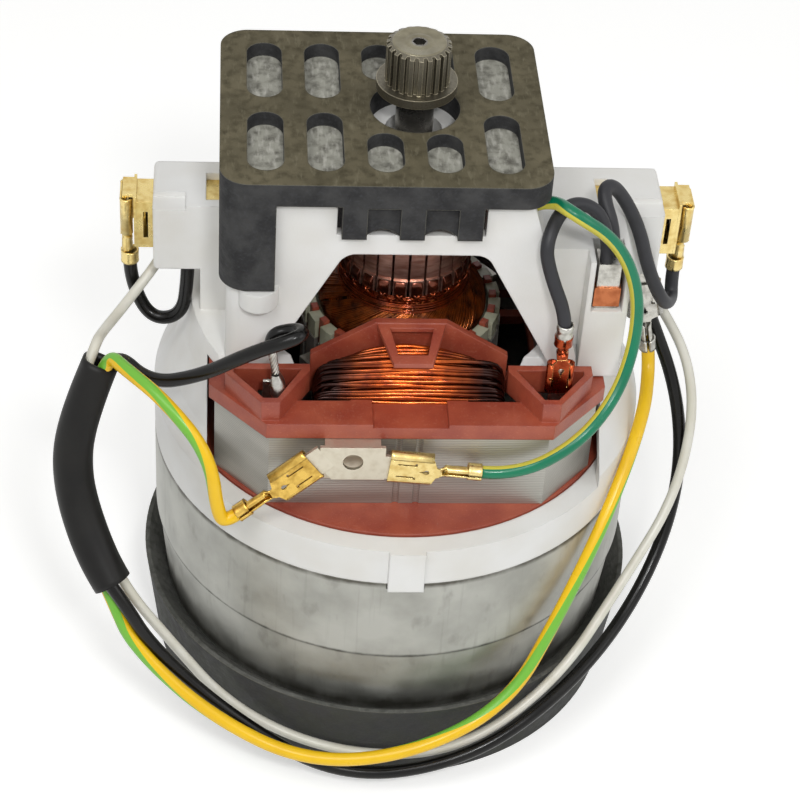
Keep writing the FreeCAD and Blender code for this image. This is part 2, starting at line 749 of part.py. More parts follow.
# The brush bores set the height of the shoulders, and the pocket goes down from there
bore_y = brush_thick / 2 + brush_fit + tube_wall + press_gap
bore_z = brush_tall / 2 + brush_fit + tube_wall + press_gap
shoulder_top_z = brush_z + bore_z + holder_cover
pocket_floor_z = shoulder_top_z - pocket_deep
shoulder = box(-shoulder_left_x, 0, -holder_y, holder_y, tower_foot_z, shoulder_top_z)
shoulder = shoulder.fuse(box(0, shoulder_right_x, -panel_y, holder_y, tower_foot_z, shoulder_top_z))
shoulder = shoulder.fuse(box(pocket_block_x, shoulder_right_x, -pocket_block_y, holder_y, tower_foot_z,
                             shoulder_top_z))
shoulder_in = box(-shoulder_left_x + wall, 0, -holder_y + wall, holder_y - wall,
                  tower_foot_z - 1, shoulder_top_z - wall)
shoulder_in = shoulder_in.fuse(box(0, shoulder_right_x - wall, -panel_y + 5.6, holder_y - wall,
                                   tower_foot_z - 1, shoulder_top_z - wall))

# The skirts flare from the shoulders to the ring in a hollow curve, narrow above and wide below
core_clearance_x = stator_side_x + frame_overhang + tower_gap
skirt_top_r = core_clearance_x + skirt_clear
skirt_foot_z = ring_top_z + 3.0
ring_in_r = lower_frame_r + ring_gap
ring_r = ring_in_r + ring_wall
skirt_ring = turned([(skirt_top_r, skirt_top_z), (skirt_top_r + 1.3, skirt_top_z - 9.0),
                     (skirt_top_r + 4.2, skirt_top_z - 17.8),
                     (ring_r, skirt_foot_z), (ring_r, ring_top_z - 1),
                     (ring_r - skirt_wall, ring_top_z - 1),
                     (ring_r - skirt_wall, skirt_foot_z), (skirt_top_r - skirt_wall, skirt_top_z - 12.0),
                     (skirt_top_r - skirt_wall, skirt_top_z)])
shelf = tube(skirt_top_r, skirt_top_r - shelf_wide, skirt_top_z - wall, skirt_top_z)
skirt_face = Part.makePolygon([V(-80, -skirt_top_y, skirt_top_z + 1), V(-80, skirt_top_y, skirt_top_z + 1),
                               V(-80, skirt_foot_y, ring_top_z - 2), V(-80, -skirt_foot_y, ring_top_z - 2),
                               V(-80, -skirt_top_y, skirt_top_z + 1)])
skirt_space = Part.Face(skirt_face).extrude(V(160, 0, 0))
core_space = box(-core_clearance_x, core_clearance_x, -60, 60, ring_top_z - 3, tower_foot_z)
skirts = skirt_ring.fuse(shelf).common(skirt_space).cut(core_space)

ring_ledge_r = ring_in_r - ring_ledge
ledge_z = lower_top_z - lower_frame_thick
ring = turned([(ring_r, ring_low_z), (ring_r, ring_top_z), (ring_in_r, ring_top_z), (ring_in_r, ledge_z),
               (ring_ledge_r, ledge_z), (ring_ledge_r, ring_low_z)])
clip = box(-clip_half_x, clip_half_x, -ring_r - 0.9, -ring_r + 0.7, ring_low_z - 1.6, ring_top_z)

# Brush holders: blocks on each side with a square bore for the brass tube
holder = box(holder_in_x, holder_out_x, -holder_y, holder_y, holder_low_z, shoulder_top_z)
top_edges = []
for e in holder.Edges:
    a = e.Vertexes[0].Point
    b = e.Vertexes[-1].Point
    if a.x > holder_out_x - 0.01 and b.x > holder_out_x - 0.01:
        top_edges.append(e)
holder = holder.makeFillet(1.0, top_edges)
holder_step = box(holder_out_x - 7.0, holder_out_x + 1, -holder_y - 1, -holder_y + 5.0,
                  shoulder_top_z - 1.2, shoulder_top_z + 1)
guide = box(tube_start_x + 4, holder_in_x + 1, -bore_y - 1.6, bore_y + 1.6,
            brush_z - bore_z - 1.6, brush_z + bore_z + 1.6)
right_holder = holder.cut(holder_step).fuse(guide)
left_holder = mirrored_x(right_holder)

hub_block = rod(hub_r, hub_low_z, tower_top_z - 1)
bearing_seat = rod(bearing_r + press_gap, hub_low_z - 1, upper_bearing_z + bearing_h)
rib = box(-tower_left_x + 1, tower_right_x - 1, -1.2, 1.2, hub_low_z + 2, tower_top_z - 1)
cross_rib = box(-1.2, 1.2, -tower_y + 1, tower_y - 1, hub_low_z + 2, tower_top_z - 1)

housing = outer_front.fuse(shoulder)
housing = housing.cut(inner_front).cut(shoulder_in).cut(window)
housing = housing.fuse([rib, cross_rib, hub_block])
housing = housing.fuse([left_holder, right_holder])
housing = housing.fuse([skirts, ring, clip])
housing = housing.cut(bearing_seat).cut(rod(shaft_hole_r, hub_low_z - 1, tower_top_z + 1))
tube_bore = box(-holder_out_x - 1, holder_out_x + 1, -bore_y, bore_y, brush_z - bore_z, brush_z + bore_z)
housing = housing.cut(tube_bore)
comb_notch = box(-notch_left_x, notch_right_x, -tower_y - 1, -tower_y + wall + 0.6, notch_foot_z,
                 tower_top_z + 1)
housing = housing.cut(comb_notch).cut(mirrored_y(comb_notch))
pocket_cut = box(pocket_block_x + pocket_cut_wall, shoulder_right_x - pocket_cut_wall, -pocket_block_y - 1,
                 -panel_y + 3.8,
                 pocket_floor_z, shoulder_top_z + 1)
housing = housing.cut(pocket_cut)
brass_slot = box(-shoulder_left_x + 1.2, -tower_left_x - 1.2, -5.6, 4.0, brush_z + bore_z - 0.5,
                 shoulder_top_z + 1)
housing = housing.cut(brass_slot).cut(mirrored_x(brass_slot))
boss = rod(boss_r, boss_foot_z + 2, boss_top_z, -boss_x, -tower_y + 0.6)
boss = boss.fuse(Part.makeCone(boss_r - 2.0, boss_r, 2.0, V(-boss_x, -tower_y + 0.6, boss_foot_z)))
boss = boss.cut(box(-50, -20, -tower_y + wall, 0, 100, 130))
housing = housing.fuse([boss, mirrored_y(boss)])
save("motor_housing", housing.removeSplitter())

# Top rubber mount: plate with recesses, comb skirts and two long legs
plate = box(-rubber_left_x, rubber_right_x, -rubber_y, rubber_y, tower_top_z, tower_top_z + rubber_thick)
plate_corners = []
for x in (-rubber_left_x, rubber_right_x):
    for y in (-rubber_y, rubber_y):
        plate_corners += upright(plate, x, y)
plate = plate.makeFillet(rubber_corner_r, plate_corners)
recess_floor_z = tower_top_z + rubber_thick - recess_deep
recesses = []
for i in range(5):
    x = -recess_first_x + i * recess_pitch
    near_y = recess_short_y if i in (2, 3) else recess_near_y
    pit = slot(x, near_y, recess_far_y, recess_wide, recess_floor_z, tower_top_z + rubber_thick + 1)
    recesses += [pit, mirrored_y(pit)]
leg = box(-rubber_left_x, -leg_in_x, -rubber_y, -rubber_y + 8.0, leg_foot_z, tower_top_z + 1)
leg = leg.makeFillet(rubber_corner_r, upright(leg, -rubber_left_x, -rubber_y))
leg_hollow = box(-tower_left_x - seat_gap, 0, -tower_y - seat_gap, 0, leg_foot_z - 1, tower_top_z)
leg_hollow = leg_hollow.makeFillet(3.0, upright(leg_hollow, -tower_left_x - seat_gap, -tower_y - seat_gap))
leg = leg.cut(leg_hollow)
comb = box(-comb_left_x, comb_right_x, -rubber_y, -tower_y + wall, comb_foot_z, tower_top_z + 1)
comb_long = comb_left_x + comb_right_x
gap_wide = (comb_long - 3 * comb_tooth) / 2
for i in range(2):
    x = -comb_left_x + comb_tooth + i * (comb_tooth + gap_wide)
    comb = comb.cut(box(x, x + gap_wide, -rubber_y - 1, -rubber_y + 2.0, comb_foot_z - 1,
                        tower_top_z - 0.4))
    arch = Part.makeCylinder(gap_wide * 0.62, 20, V(x + gap_wide / 2, -rubber_y - 1, comb_foot_z - 1.0),
                             V(0, 1, 0))
    comb = comb.cut(arch.common(box(x, x + gap_wide, -rubber_y - 2, 0, comb_foot_z - 1, comb_foot_z + 2.6)))
mount = plate.fuse([leg, mirrored_y(leg), comb, mirrored_y(comb)])
mount = mount.cut(Part.makeCompound(recesses)).cut(rod(rubber_hole_r, tower_top_z - 1,
                                                       tower_top_z + rubber_thick + 1))
save("top_rubber_mount", mount.removeSplitter())

# Fan shell: drawn aluminium can with the inlet in its floor and a step half way up
shell_r = ring_r
shell_low_r = shell_r - shell_taper
shell_in_r = shell_r - shell_wall
shell_seat_in_r = shell_low_r - shell_wall
impeller_r = shell_seat_in_r - impeller_gap
shell = turned([(inlet_r, shell_floor_z), (shell_low_r, shell_floor_z), (shell_low_r, foot_seat_z),
                (shell_r - shell_step, shell_step_z), (shell_r, shell_step_z), (shell_r, ring_low_z),
                (shell_in_r, ring_low_z), (shell_in_r, shell_step_z), (shell_seat_in_r, foot_seat_z),
                (shell_seat_in_r, shell_floor_z + shell_wall), (inlet_r, shell_floor_z + shell_wall)])
clip_seat = box(-clip_half_x - 0.2, clip_half_x + 0.2, -shell_r - 2, -shell_r + 1.6, ring_low_z - 1.7,
                ring_low_z + 1)
save("fan_shell", shell.cut(clip_seat))

# Bottom rubber ring: a cup with an inward sloping top and an open middle
foot_lip_r = shell_low_r + foot_lip_wall
foot_low_r = shell_low_r + foot_low_wall
foot = turned([(foot_eye_r, 0), (foot_low_r, 0), (foot_lip_r, foot_lip_z), (foot_lip_r - 1.0, foot_lip_z),
               (shell_low_r, foot_seat_z), (shell_low_r, shell_floor_z), (foot_eye_r, shell_floor_z)])
save("bottom_rubber_ring", foot)

# Impeller: two discs with swept blades between them
eye_r = inlet_r - 2.2
back = tube(impeller_r, shaft_r + press_gap, impeller_top_z - impeller_sheet, impeller_top_z)
front = tube(impeller_r, eye_r, impeller_low_z, impeller_low_z + impeller_sheet)
blade_in_r = eye_r + 2.0


def swept_blade(r_in, r_out, sweep, turn, z0, z1, steps=4):
    """A curved sheet blade from r_in to r_out, swept by one angle, as thick as another angle."""
    near = []
    far = []
    for i in range(steps + 1):
        t = i / steps
        r = r_in + (r_out - r_in) * t
        a = math.radians(sweep * t ** 0.8)
        b = a + math.radians(turn) * r_in / r
        near.append((r * math.cos(a), r * math.sin(a)))
        far.append((r * math.cos(b), r * math.sin(b)))
    return prism(near + far[::-1], z0, z1)


blade = swept_blade(blade_in_r, impeller_r - 0.4, -66.0, 3.4, impeller_low_z + impeller_sheet,
                    impeller_top_z - impeller_sheet)
fan_hub = tube(8.0, shaft_r + press_gap, impeller_low_z, impeller_top_z - impeller_sheet)
save("impeller", back.fuse([front, fan_hub] + around(blade, impeller_blades)).removeSplitter())

# Nut and spacer that hold the impeller on the shaft
nut_flat = 6.5
nut_points = []
for k in range(6):
    nut_points.append((nut_flat / math.cos(math.pi / 6) * math.cos(k * math.pi / 3),
                       nut_flat / math.cos(math.pi / 6) * math.sin(k * math.pi / 3)))
nut = prism(nut_points, shaft_bottom_z + 0.3, impeller_low_z).cut(rod(shaft_r + press_gap, 0, 20))
save("fan_nut", nut)
save("fan_spacer", tube(spacer_r, shaft_r + press_gap, impeller_top_z, lower_bearing_z))

# Diffuser: plate above the impeller with return vanes that reach the bracket
diffuser_r = shell_seat_in_r - seat_gap
base = tube(diffuser_r, spacer_r + 1.0, diffuser_z, diffuser_z + diffuser_plate)
vane = swept_blade(24.0, diffuser_r - 0.6, -54.0, 4.4, diffuser_z + diffuser_plate, bracket_plate_z)
save("diffuser", base.fuse(around(vane, diffuser_vanes)).removeSplitter())

# Lower bearing bracket: hub, spoked plate and a rim clamped under the housing ring
rim_r = shell_in_r - ring_gap
bracket_top_z = bracket_plate_z + bracket_plate
seat_r_low = bearing_r + press_gap
bracket = turned([(seat_r_low, lower_bearing_z), (seat_r_low + 3.0, lower_bearing_z),
                  (seat_r_low + 3.0, bracket_plate_z),
                  (rim_r, bracket_plate_z), (rim_r, ring_low_z), (rim_r - bracket_rim, ring_low_z),
                  (rim_r - bracket_rim, bracket_top_z), (spacer_r + 1.0, bracket_top_z),
                  (spacer_r + 1.0, lower_bearing_z + bearing_h), (seat_r_low, lower_bearing_z + bearing_h)])
air = tube(42.0, 19.0, bracket_plate_z - 1, bracket_top_z + 1)
air_holes = []
for k in range(6):
    air_holes.append(air.common(wedge(k * 60.0, 22.0, 60, bracket_plate_z - 2, bracket_plate_z + 9)))
bracket = bracket.cut(Part.makeCompound(air_holes))
save("lower_bearing_bracket", bracket)

# Brush gear, drawn for the right side and mirrored
tube_half_y = bore_y - press_gap
tube_half_z = bore_z - press_gap
brass = box(tube_start_x, tube_end_x, -tube_half_y, tube_half_y, brush_z - tube_half_z,
            brush_z + tube_half_z)
brass = brass.cut(box(tube_start_x - 1, tube_end_x + 1, -tube_half_y + tube_wall, tube_half_y - tube_wall,
                      brush_z - tube_half_z + tube_wall, brush_z + tube_half_z - tube_wall))
brass = brass.cut(box(55.6, 56.6, -tube_half_y - 1, 0, brush_z - 3.4, brush_z + 3.4))
carbon = box(0, commutator_r + brush_long, -brush_thick / 2, brush_thick / 2,
             brush_z - brush_tall / 2, brush_z + brush_tall / 2)
carbon = carbon.cut(rod(commutator_r + brush_face_gap, brush_z - 20, brush_z + 20))
brush_end_x = commutator_r + brush_long
spring = Part.makeCylinder(spring_r, tube_end_x - brush_end_x, V(brush_end_x, 0, brush_z), V(1, 0, 0))
spring = spring.cut(Part.makeCylinder(spring_r - spring_wall, 40, V(brush_end_x - 1, 0, brush_z),
                                      V(1, 0, 0)))
mouth_z = 125.6
cap_out_x = tube_end_x + cap_thick
blade_x = cap_out_x + 1.6
cap = box(tube_end_x, cap_out_x, -tube_half_y, tube_half_y, brush_z - tube_half_z,
          mouth_z + 0.3 + blade_thick)
cap = cap.fuse([box(tube_end_x, blade_x + blade_thick, -blade_wide / 2, blade_wide / 2,
                    mouth_z + 0.3, mouth_z + 0.3 + blade_thick),
                box(blade_x, blade_x + blade_thick, -blade_wide / 2, blade_wide / 2,
                    mouth_z - receptacle_box + 0.8, mouth_z + 0.3 + blade_thick)])
clip_back_x = blade_x + blade_thick + 0.1 + receptacle_sheet
brush_clip = placed(receptacle(long=receptacle_long - 1.0),
                    (clip_back_x, 0, mouth_z - receptacle_long + 1.0),
                    (0, 0, 1), (-1, 0, 0))
save("brush_tube_right", brass)
save("brush_tube_left", mirrored_x(brass))
save("carbon_brush_right", carbon)
save("carbon_brush_left", mirrored_x(carbon))
save("brush_spring_right", spring)
save("brush_spring_left", mirrored_x(spring))
save("brush_cap_right", cap.removeSplitter())
save("brush_cap_left", mirrored_x(cap.removeSplitter()))
save("brush_receptacle_right", brush_clip)
save("brush_receptacle_left", mirrored_x(brush_clip))

# Earth bracket: plate held off the core by a bent strip, one blade to each side
half_sheet = blade_thick / 2
earth = front_plate([(-bracket_left_x, earth_low_z + 3.4), (-bracket_left_x, earth_top_z),
                     (-bracket_right_x, earth_top_z),
                     (-bracket_right_x, earth_low_z), (-bracket_left_x + 2.6, earth_low_z)],
                    -earth_y - half_sheet, -earth_y + half_sheet)
top_strip = box(-bracket_left_x + 1.0, -bracket_right_x - 1.0, -earth_y - half_sheet, -stator_front_y,
                earth_top_z - blade_thick, earth_top_z)
foot_strip = box(-bracket_left_x + 1.0, -bracket_right_x - 1.0, -stator_front_y - blade_thick,
                 -stator_front_y,
                 core_bottom_z + 8.0, earth_top_z)

back_offset = half_sheet + 0.1 + receptacle_sheet


def blade_with_clip(root, along, reach, tab_long):
    """A flat blade, the receptacle pushed on it to one reach from its root, and its crimp centre."""
    along.normalize()
    outward = V(0, -1, 0) - along * along.dot(V(0, -1, 0))
    inward = outward.normalize() * -1
    tab = Part.makeBox(tab_long, blade_wide, blade_thick, V(0, -blade_wide / 2, -half_sheet))
    tab = placed(tab, tuple(root), tuple(along), tuple(outward))
    wire_end = root + along * (reach + receptacle_long) - inward * back_offset
    clip_shape = placed(receptacle(), tuple(wire_end), tuple(along * -1), tuple(inward))
    return tab, clip_shape, wire_end + inward * crimp_r


left_dir = V(-14.4, -3.6, -10.4)
left_root = V(-bracket_left_x + 1.2, -earth_y, side_blade_z)
left_tab, earth_clip, earth_crimp = blade_with_clip(left_root, left_dir, 3.2, side_blade_long)
right_dir = V(1.0, -0.02, -0.09)
right_root = V(-bracket_right_x - 1.0, -earth_y, earth_blade_z)
right_tab, bond_clip, bond_crimp = blade_with_clip(right_root, right_dir, 1.9, earth_blade_long)
earth = earth.fuse([top_strip, foot_strip, right_tab, left_tab])
earth_hole = Part.makeCylinder(earth_hole_r, 2.4, V(-earth_hole_x, -earth_y - 1.2, earth_hole_z),
                               V(0, 1, 0))
earth = earth.cut(earth_hole)
save("earth_bracket", earth.removeSplitter())
save("bond_receptacle", bond_clip)
save("earth_receptacle_left", earth_clip)

# Thermal cutout in the right pocket, with its copper band and pins
cutout_x = 40.8
cutout_y = 21.6
cutout_half = 2.8
cutout_half_x = 2.4
cutout_tall = 11.6
band_thick = 0.4
band_low = 0.8
band_tall = 4.8
cutout_top_z = pocket_floor_z + cutout_tall
cutout = box(cutout_x - cutout_half_x, cutout_x + cutout_half_x,
             -cutout_y - cutout_half, -cutout_y + cutout_half, pocket_floor_z, cutout_top_z)
band_x = cutout_half_x + band_thick
band_y = cutout_half + band_thick
band_low_z = pocket_floor_z + band_low
band = box(cutout_x - band_x, cutout_x + band_x, -cutout_y - band_y, -cutout_y + band_y, band_low_z,
           band_low_z + band_tall)
band = band.cut(cutout)
save("thermal_cutout", cutout)
save("cutout_band", band)

# Far earth terminal and the tab that it hangs on, under the right holder
far_tab_x = skirt_top_r + far_tab_clear
far_tab_y = 4.6
far_dir = V(4.6, 0.4, -24.0)
far_root = V(far_tab_x, -far_tab_y, holder_low_z)
far_tab, far_clip, far_crimp = blade_with_clip(far_root, far_dir, 5.2, 12.0)
far_tab = far_tab.common(box(40, 70, -20, 20, 90, holder_low_z))
save("far_earth_tab", far_tab)
save("earth_receptacle_right", far_clip)

# The loose wiring. Its sleeve hangs in the air beside the motor, held by the three leads in it.
sleeve_points = [(-65.4, -24.0, 98.2), (-70.2, -28.2, 86.6), (-72.2, -33.6, 73.4), (-67.4, -41.4, 59.6),
                 (-63.0, -45.6, 53.0)]
sleeve_body = cord("cable_sleeve", sleeve_points, sleeve_r)
sleeve_bore = cord("sleeve bore", sleeve_points, sleeve_r - sleeve_wall)
save("cable_sleeve", sleeve_body.cut(sleeve_bore))
sleeve_twist = 150.0
sleeve_offset = 2.35


def through_sleeve(angle):
    """The route of one lead in the sleeve: the leads twist round its middle line."""
    pts = [V(*p) for p in sleeve_points]
    first = (pts[0] - pts[1]).normalize()
    last = (pts[-1] - pts[-2]).normalize()
    pts[0] = pts[0] + first * 3.0
    pts[-1] = pts[-1] + last * 4.0
    route = []
    for i, p in enumerate(pts):
        along = (pts[min(i + 1, len(pts) - 1)] - pts[max(i - 1, 0)]).normalize()
        side = V(0, 0, 1).cross(along).normalize()
        up = along.cross(side)
        a = math.radians(angle + sleeve_twist * (1 - i / (len(pts) - 1)))
        route.append(tuple(p + side * (sleeve_offset * math.cos(a)) + up * (sleeve_offset * math.sin(a))))
    return route


splice_top = splice_foot + splice_dir * splice_long
black_route = [tuple(splice_top), tuple(splice_top + splice_dir * 3.6), (-25.0, -33.4, 115.2),
               (-22.9, -36.4, 117.0),
               (-24.9, -39.2, 117.4), (-33.8, -38.0, 112.6), (-44.2, -34.0, 102.8), (-54.8, -29.6, 96.8)]
black_route += through_sleeve(120)
black_route += [(-54.6, -50.2, 37.4), (-36.4, -52.8, 16.5), (-12.0, -61.8, 6.2), (15.5, -61.3, 11.2),
                (38.0, -49.3, 19.8), (56.1, -30.4, 29.7), (66.5, -14.0, 48.2), (65.4, -5.2, 72.0),
                (55.0, 3.4, 95.0), (52.2, 2.6, 102.6), (52.2, 2.6, holder_low_z)]
save("lead_black", cord("lead_black", black_route, lead_r))

white_route = [(-51.6, 3.0, holder_low_z), (-51.6, 3.0, 107.6), (-61.4, -6.7, 98.6), (-65.6, -16.4, 99.4)]
white_route += through_sleeve(0)
white_route += [(-52.6, -46.1, 38.5), (-36.7, -48.8, 15.1), (-12.3, -57.3, 9.2), (14.7, -58.8, 11.6),
                (37.2, -47.1, 22.6), (51.7, -32.2, 38.2), (66.1, -15.9, 54.0), (68.6, -4.4, 78.0),
                (58.0, 8.0, 93.6), (49.4, 6.4, 99.6), (49.4, 6.4, holder_low_z)]
save("lead_white", cord("lead_white", white_route, white_r))

earth_exit = earth_crimp + left_dir * 2.4
far_exit = far_crimp + far_dir * 6.0
earth_route = [tuple(earth_crimp), tuple(earth_exit), tuple(earth_exit + V(-2.2, -0.6, 1.0)),
               (-42.0, -47.2, 92.4),
               (-51.3, -40.4, 101.5), (-60.0, -31.4, 102.6)]
earth_route += through_sleeve(240)
earth_route += [(-58.6, -51.6, 39.2), (-42.4, -56.6, 22.6), (-20.8, -63.2, 13.7), (2.4, -65.4, 18.4),
                (25.2, -55.6, 24.1), (35.9, -46.1, 43.9), (45.3, -35.7, 62.9), (54.2, -18.5, 77.6),
                tuple(far_exit), tuple(far_crimp)]
save("lead_earth", cord("lead_earth", earth_route, lead_r))

wall_slope = (right_leg_x - tower_right_x) / (tower_top_z - tower_foot_z - 6.0)
bond_z = 139.9
bond_dir = V(1, 0, wall_slope).normalize()
bond_start = V(tower_right_x + wall_slope * (tower_top_z - bond_z), -22.4, bond_z)
bond_route = [tuple(bond_start), tuple(bond_start + bond_dir * 3.6), (30.4, -29.6, 143.2),
              (40.7, -27.2, 134.5),
              (46.4, -27.6, 123.1), (47.4, -29.2, 109.7), (43.8, -34.9, 98.6), (35.2, -43.1, 92.4),
              tuple(bond_crimp + right_dir * 8.0), tuple(bond_crimp)]
save("bond_wire", cord("bond_wire", bond_route, bond_r))

field_route = [(right_terminal_x, field_crimp_y, right_clip_top_z),
               (right_terminal_x, field_crimp_y, 118.4), (27.6, -29.2, 126.8),
               (25.7, -29.0, 134.8), (30.2, -21.0, 139.4), (37.0, -20.2, 138.0), (40.0, -23.0, 131.4),
               (40.0, -23.0, cutout_top_z)]
save("field_wire", cord("field_wire", field_route, field_lead_r))

brush_crimp_x = clip_back_x - crimp_r
brush_crimp_z = mouth_z - receptacle_long + 1.0
right_brush_route = [(41.6, -20.0, cutout_top_z), (41.6, -20.0, 131.0), (38.6, -14.2, 137.6),
                     (42.0, -10.8, 137.0),
                     (48.2, -10.6, 126.4), (52.0, -10.4, 113.6), (56.6, -9.8, 103.8),
                     (brush_crimp_x, -3.0, 99.6),
                     (brush_crimp_x, 0, 102.8), (brush_crimp_x, 0, brush_crimp_z)]
save("brush_wire_right", cord("brush_wire_right", right_brush_route, lead_r))

left_brush_route = [(-47.2, -4.6, holder_low_z), (-47.2, -4.6, 106.4), (-48.4, -4.6, 95.0),
                    (-55.6, -3.2, 92.8),
                    (-brush_crimp_x, 0, 101.4), (-brush_crimp_x, 0, brush_crimp_z)]
save("brush_wire_left", cord("brush_wire_left", left_brush_route, lead_r))
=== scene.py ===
import bpy
import bmesh
import math
import random
from mathutils import Matrix, Vector
from mathutils.geometry import tessellate_polygon


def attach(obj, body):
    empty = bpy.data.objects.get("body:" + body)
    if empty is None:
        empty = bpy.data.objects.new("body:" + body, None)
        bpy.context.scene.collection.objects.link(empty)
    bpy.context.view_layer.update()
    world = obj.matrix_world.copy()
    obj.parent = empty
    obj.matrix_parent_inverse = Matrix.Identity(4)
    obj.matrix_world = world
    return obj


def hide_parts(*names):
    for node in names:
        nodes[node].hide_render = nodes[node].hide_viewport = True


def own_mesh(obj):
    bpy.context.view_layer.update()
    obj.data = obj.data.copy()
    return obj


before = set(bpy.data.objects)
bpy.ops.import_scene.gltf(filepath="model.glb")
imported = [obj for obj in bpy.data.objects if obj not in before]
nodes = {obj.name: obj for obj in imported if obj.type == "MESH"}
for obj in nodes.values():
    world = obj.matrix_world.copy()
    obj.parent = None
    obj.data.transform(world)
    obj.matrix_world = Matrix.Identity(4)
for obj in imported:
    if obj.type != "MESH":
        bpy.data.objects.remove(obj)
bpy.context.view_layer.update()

# Vacuum cleaner motor. The shaft is the Z axis, the floor is z = 0, the camera looks from -Y.
# Sizes in the dictionaries are millimetres, Blender gets metres.
mm = 0.001
dice = random.Random(7)


def linearColour(hexText):
    # sRGB hex to the linear colour that the shaders want
    values = []
    for i in (1, 3, 5):
        c = int(hexText[i:i + 2], 16) / 255
        values.append(c / 12.92 if c <= 0.04045 else ((c + 0.055) / 1.055) ** 2.4)
    return (*values, 1.0)


def addNode(tree, kind, settings=None, inputs=None):
    node = tree.nodes.new(kind)
    for name, value in (settings or {}).items():
        setattr(node, name, value)
    for name, value in (inputs or {}).items():
        if isinstance(value, bpy.types.NodeSocket):
            tree.links.new(value, node.inputs[name])
        else:
            node.inputs[name].default_value = value
    return node


print("camera")
cameraView = {
    "place": (-39.56, -414.37, 431.02),
    "right": (0.99517, -0.09814, 0.0),
    "up": (0.06462, 0.65530, 0.75259),
    "roll": 0.0727,
    "lens": 108.04,
}
cameraData = bpy.data.cameras.new("photoCamera")
cameraData.lens = cameraView["lens"]
cameraData.sensor_width = 36
cameraData.clip_start = 0.02
camera = bpy.data.objects.new("photoCamera", cameraData)
bpy.context.scene.collection.objects.link(camera)
rollCos = math.cos(cameraView["roll"])
rollSin = math.sin(cameraView["roll"])
flatRight = Vector(cameraView["right"])
flatUp = Vector(cameraView["up"])
cameraRight = (flatRight * rollCos + flatUp * rollSin).normalized()
cameraUp = (flatUp * rollCos - flatRight * rollSin).normalized()
cameraBack = cameraRight.cross(cameraUp)
turn = Matrix((cameraRight, cameraUp, cameraBack)).transposed().to_4x4()
camera.matrix_world = Matrix.Translation(Vector(cameraView["place"]) * mm) @ turn
bpy.context.scene.camera = camera


print("materials")


def startMaterial(name, hexText, roughness, metallic=0.0, ior=1.5, gloss=0.5):
    material = bpy.data.materials.new(name)
    material.use_nodes = True
    tree = material.node_tree
    shader = tree.nodes["Principled BSDF"]
    shader.inputs["Base Color"].default_value = linearColour(hexText)
    shader.inputs["Roughness"].default_value = roughness
    shader.inputs["Metallic"].default_value = metallic
    if metallic < 0.5:
        shader.inputs["IOR"].default_value = ior
        shader.inputs["Specular IOR Level"].default_value = gloss
    place = addNode(tree, "ShaderNodeTexCoord").outputs["Object"]
    return material, tree, shader, place


waveRepeat = 0.314   # a wave texture of scale 1 repeats after so many metres


def grain(tree, place, size, detail=3.0, stretch=(1, 1, 1)):
    # noise whose lumps are about this many millimetres across
    spread = addNode(tree, "ShaderNodeMapping", {}, {"Vector": place, "Scale": stretch})
    inputs = {"Vector": spread.outputs["Vector"], "Scale": 1 / (size * mm), "Detail": detail}
    return addNode(tree, "ShaderNodeTexNoise", {}, inputs).outputs["Fac"]


def blendColours(tree, factor, first, second, low=0.35, high=0.65):
    spread = addNode(tree, "ShaderNodeMapRange", {}, {"Value": factor, "From Min": low, "From Max": high})
    mix = addNode(tree, "ShaderNodeMix", {"data_type": "RGBA"}, {"Factor": spread.outputs["Result"]})
    firstColour = 6   # sockets 6 and 7 of the mix are its two colours
    for slot, value in enumerate((first, second), firstColour):
        if isinstance(value, str):
            mix.inputs[slot].default_value = linearColour(value)
        else:
            tree.links.new(value, mix.inputs[slot])
    return mix.outputs[2]


def roughBump(tree, shader, height, depth, roundEdge=0.0):
    # surface grain of this depth in millimetres, over an edge rounded by the tool
    inputs = {"Height": height, "Distance": depth * mm, "Strength": 1.0}
    if roundEdge:
        rounded = addNode(tree, "ShaderNodeBevel", {"samples": 4}, {"Radius": roundEdge * mm})
        inputs["Normal"] = rounded.outputs["Normal"]
    bump = addNode(tree, "ShaderNodeBump", {}, inputs)
    tree.links.new(bump.outputs["Normal"], shader.inputs["Normal"])


def varyRoughness(tree, shader, factor, low, high):
    spread = addNode(tree, "ShaderNodeMapRange", {}, {"Value": factor, "From Min": 0.3, "From Max": 0.7,
                                                      "To Min": low, "To Max": high})
    tree.links.new(spread.outputs["Result"], shader.inputs["Roughness"])


def wornAndHighlitEdge(tree, colour, edgeHex, reach, sharp):
    # outer edges go pale: worn by handling on the rubber, worn and painted with a highlight on the sintered
    # pinion, the strip's own brass on the red-reflecting brass; there a rounded normal and the true one part
    rounded = addNode(tree, "ShaderNodeBevel", {"samples": 6}, {"Radius": reach * mm}).outputs["Normal"]
    true = addNode(tree, "ShaderNodeNewGeometry").outputs["Normal"]
    match = addNode(tree, "ShaderNodeVectorMath", {"operation": "DOT_PRODUCT"}, {0: rounded, 1: true})
    apart = addNode(tree, "ShaderNodeMath", {"operation": "SUBTRACT"}, {0: 1.0, 1: match.outputs["Value"]})
    return blendColours(tree, apart.outputs[0], colour, edgeHex, 0.01, 1 - sharp)


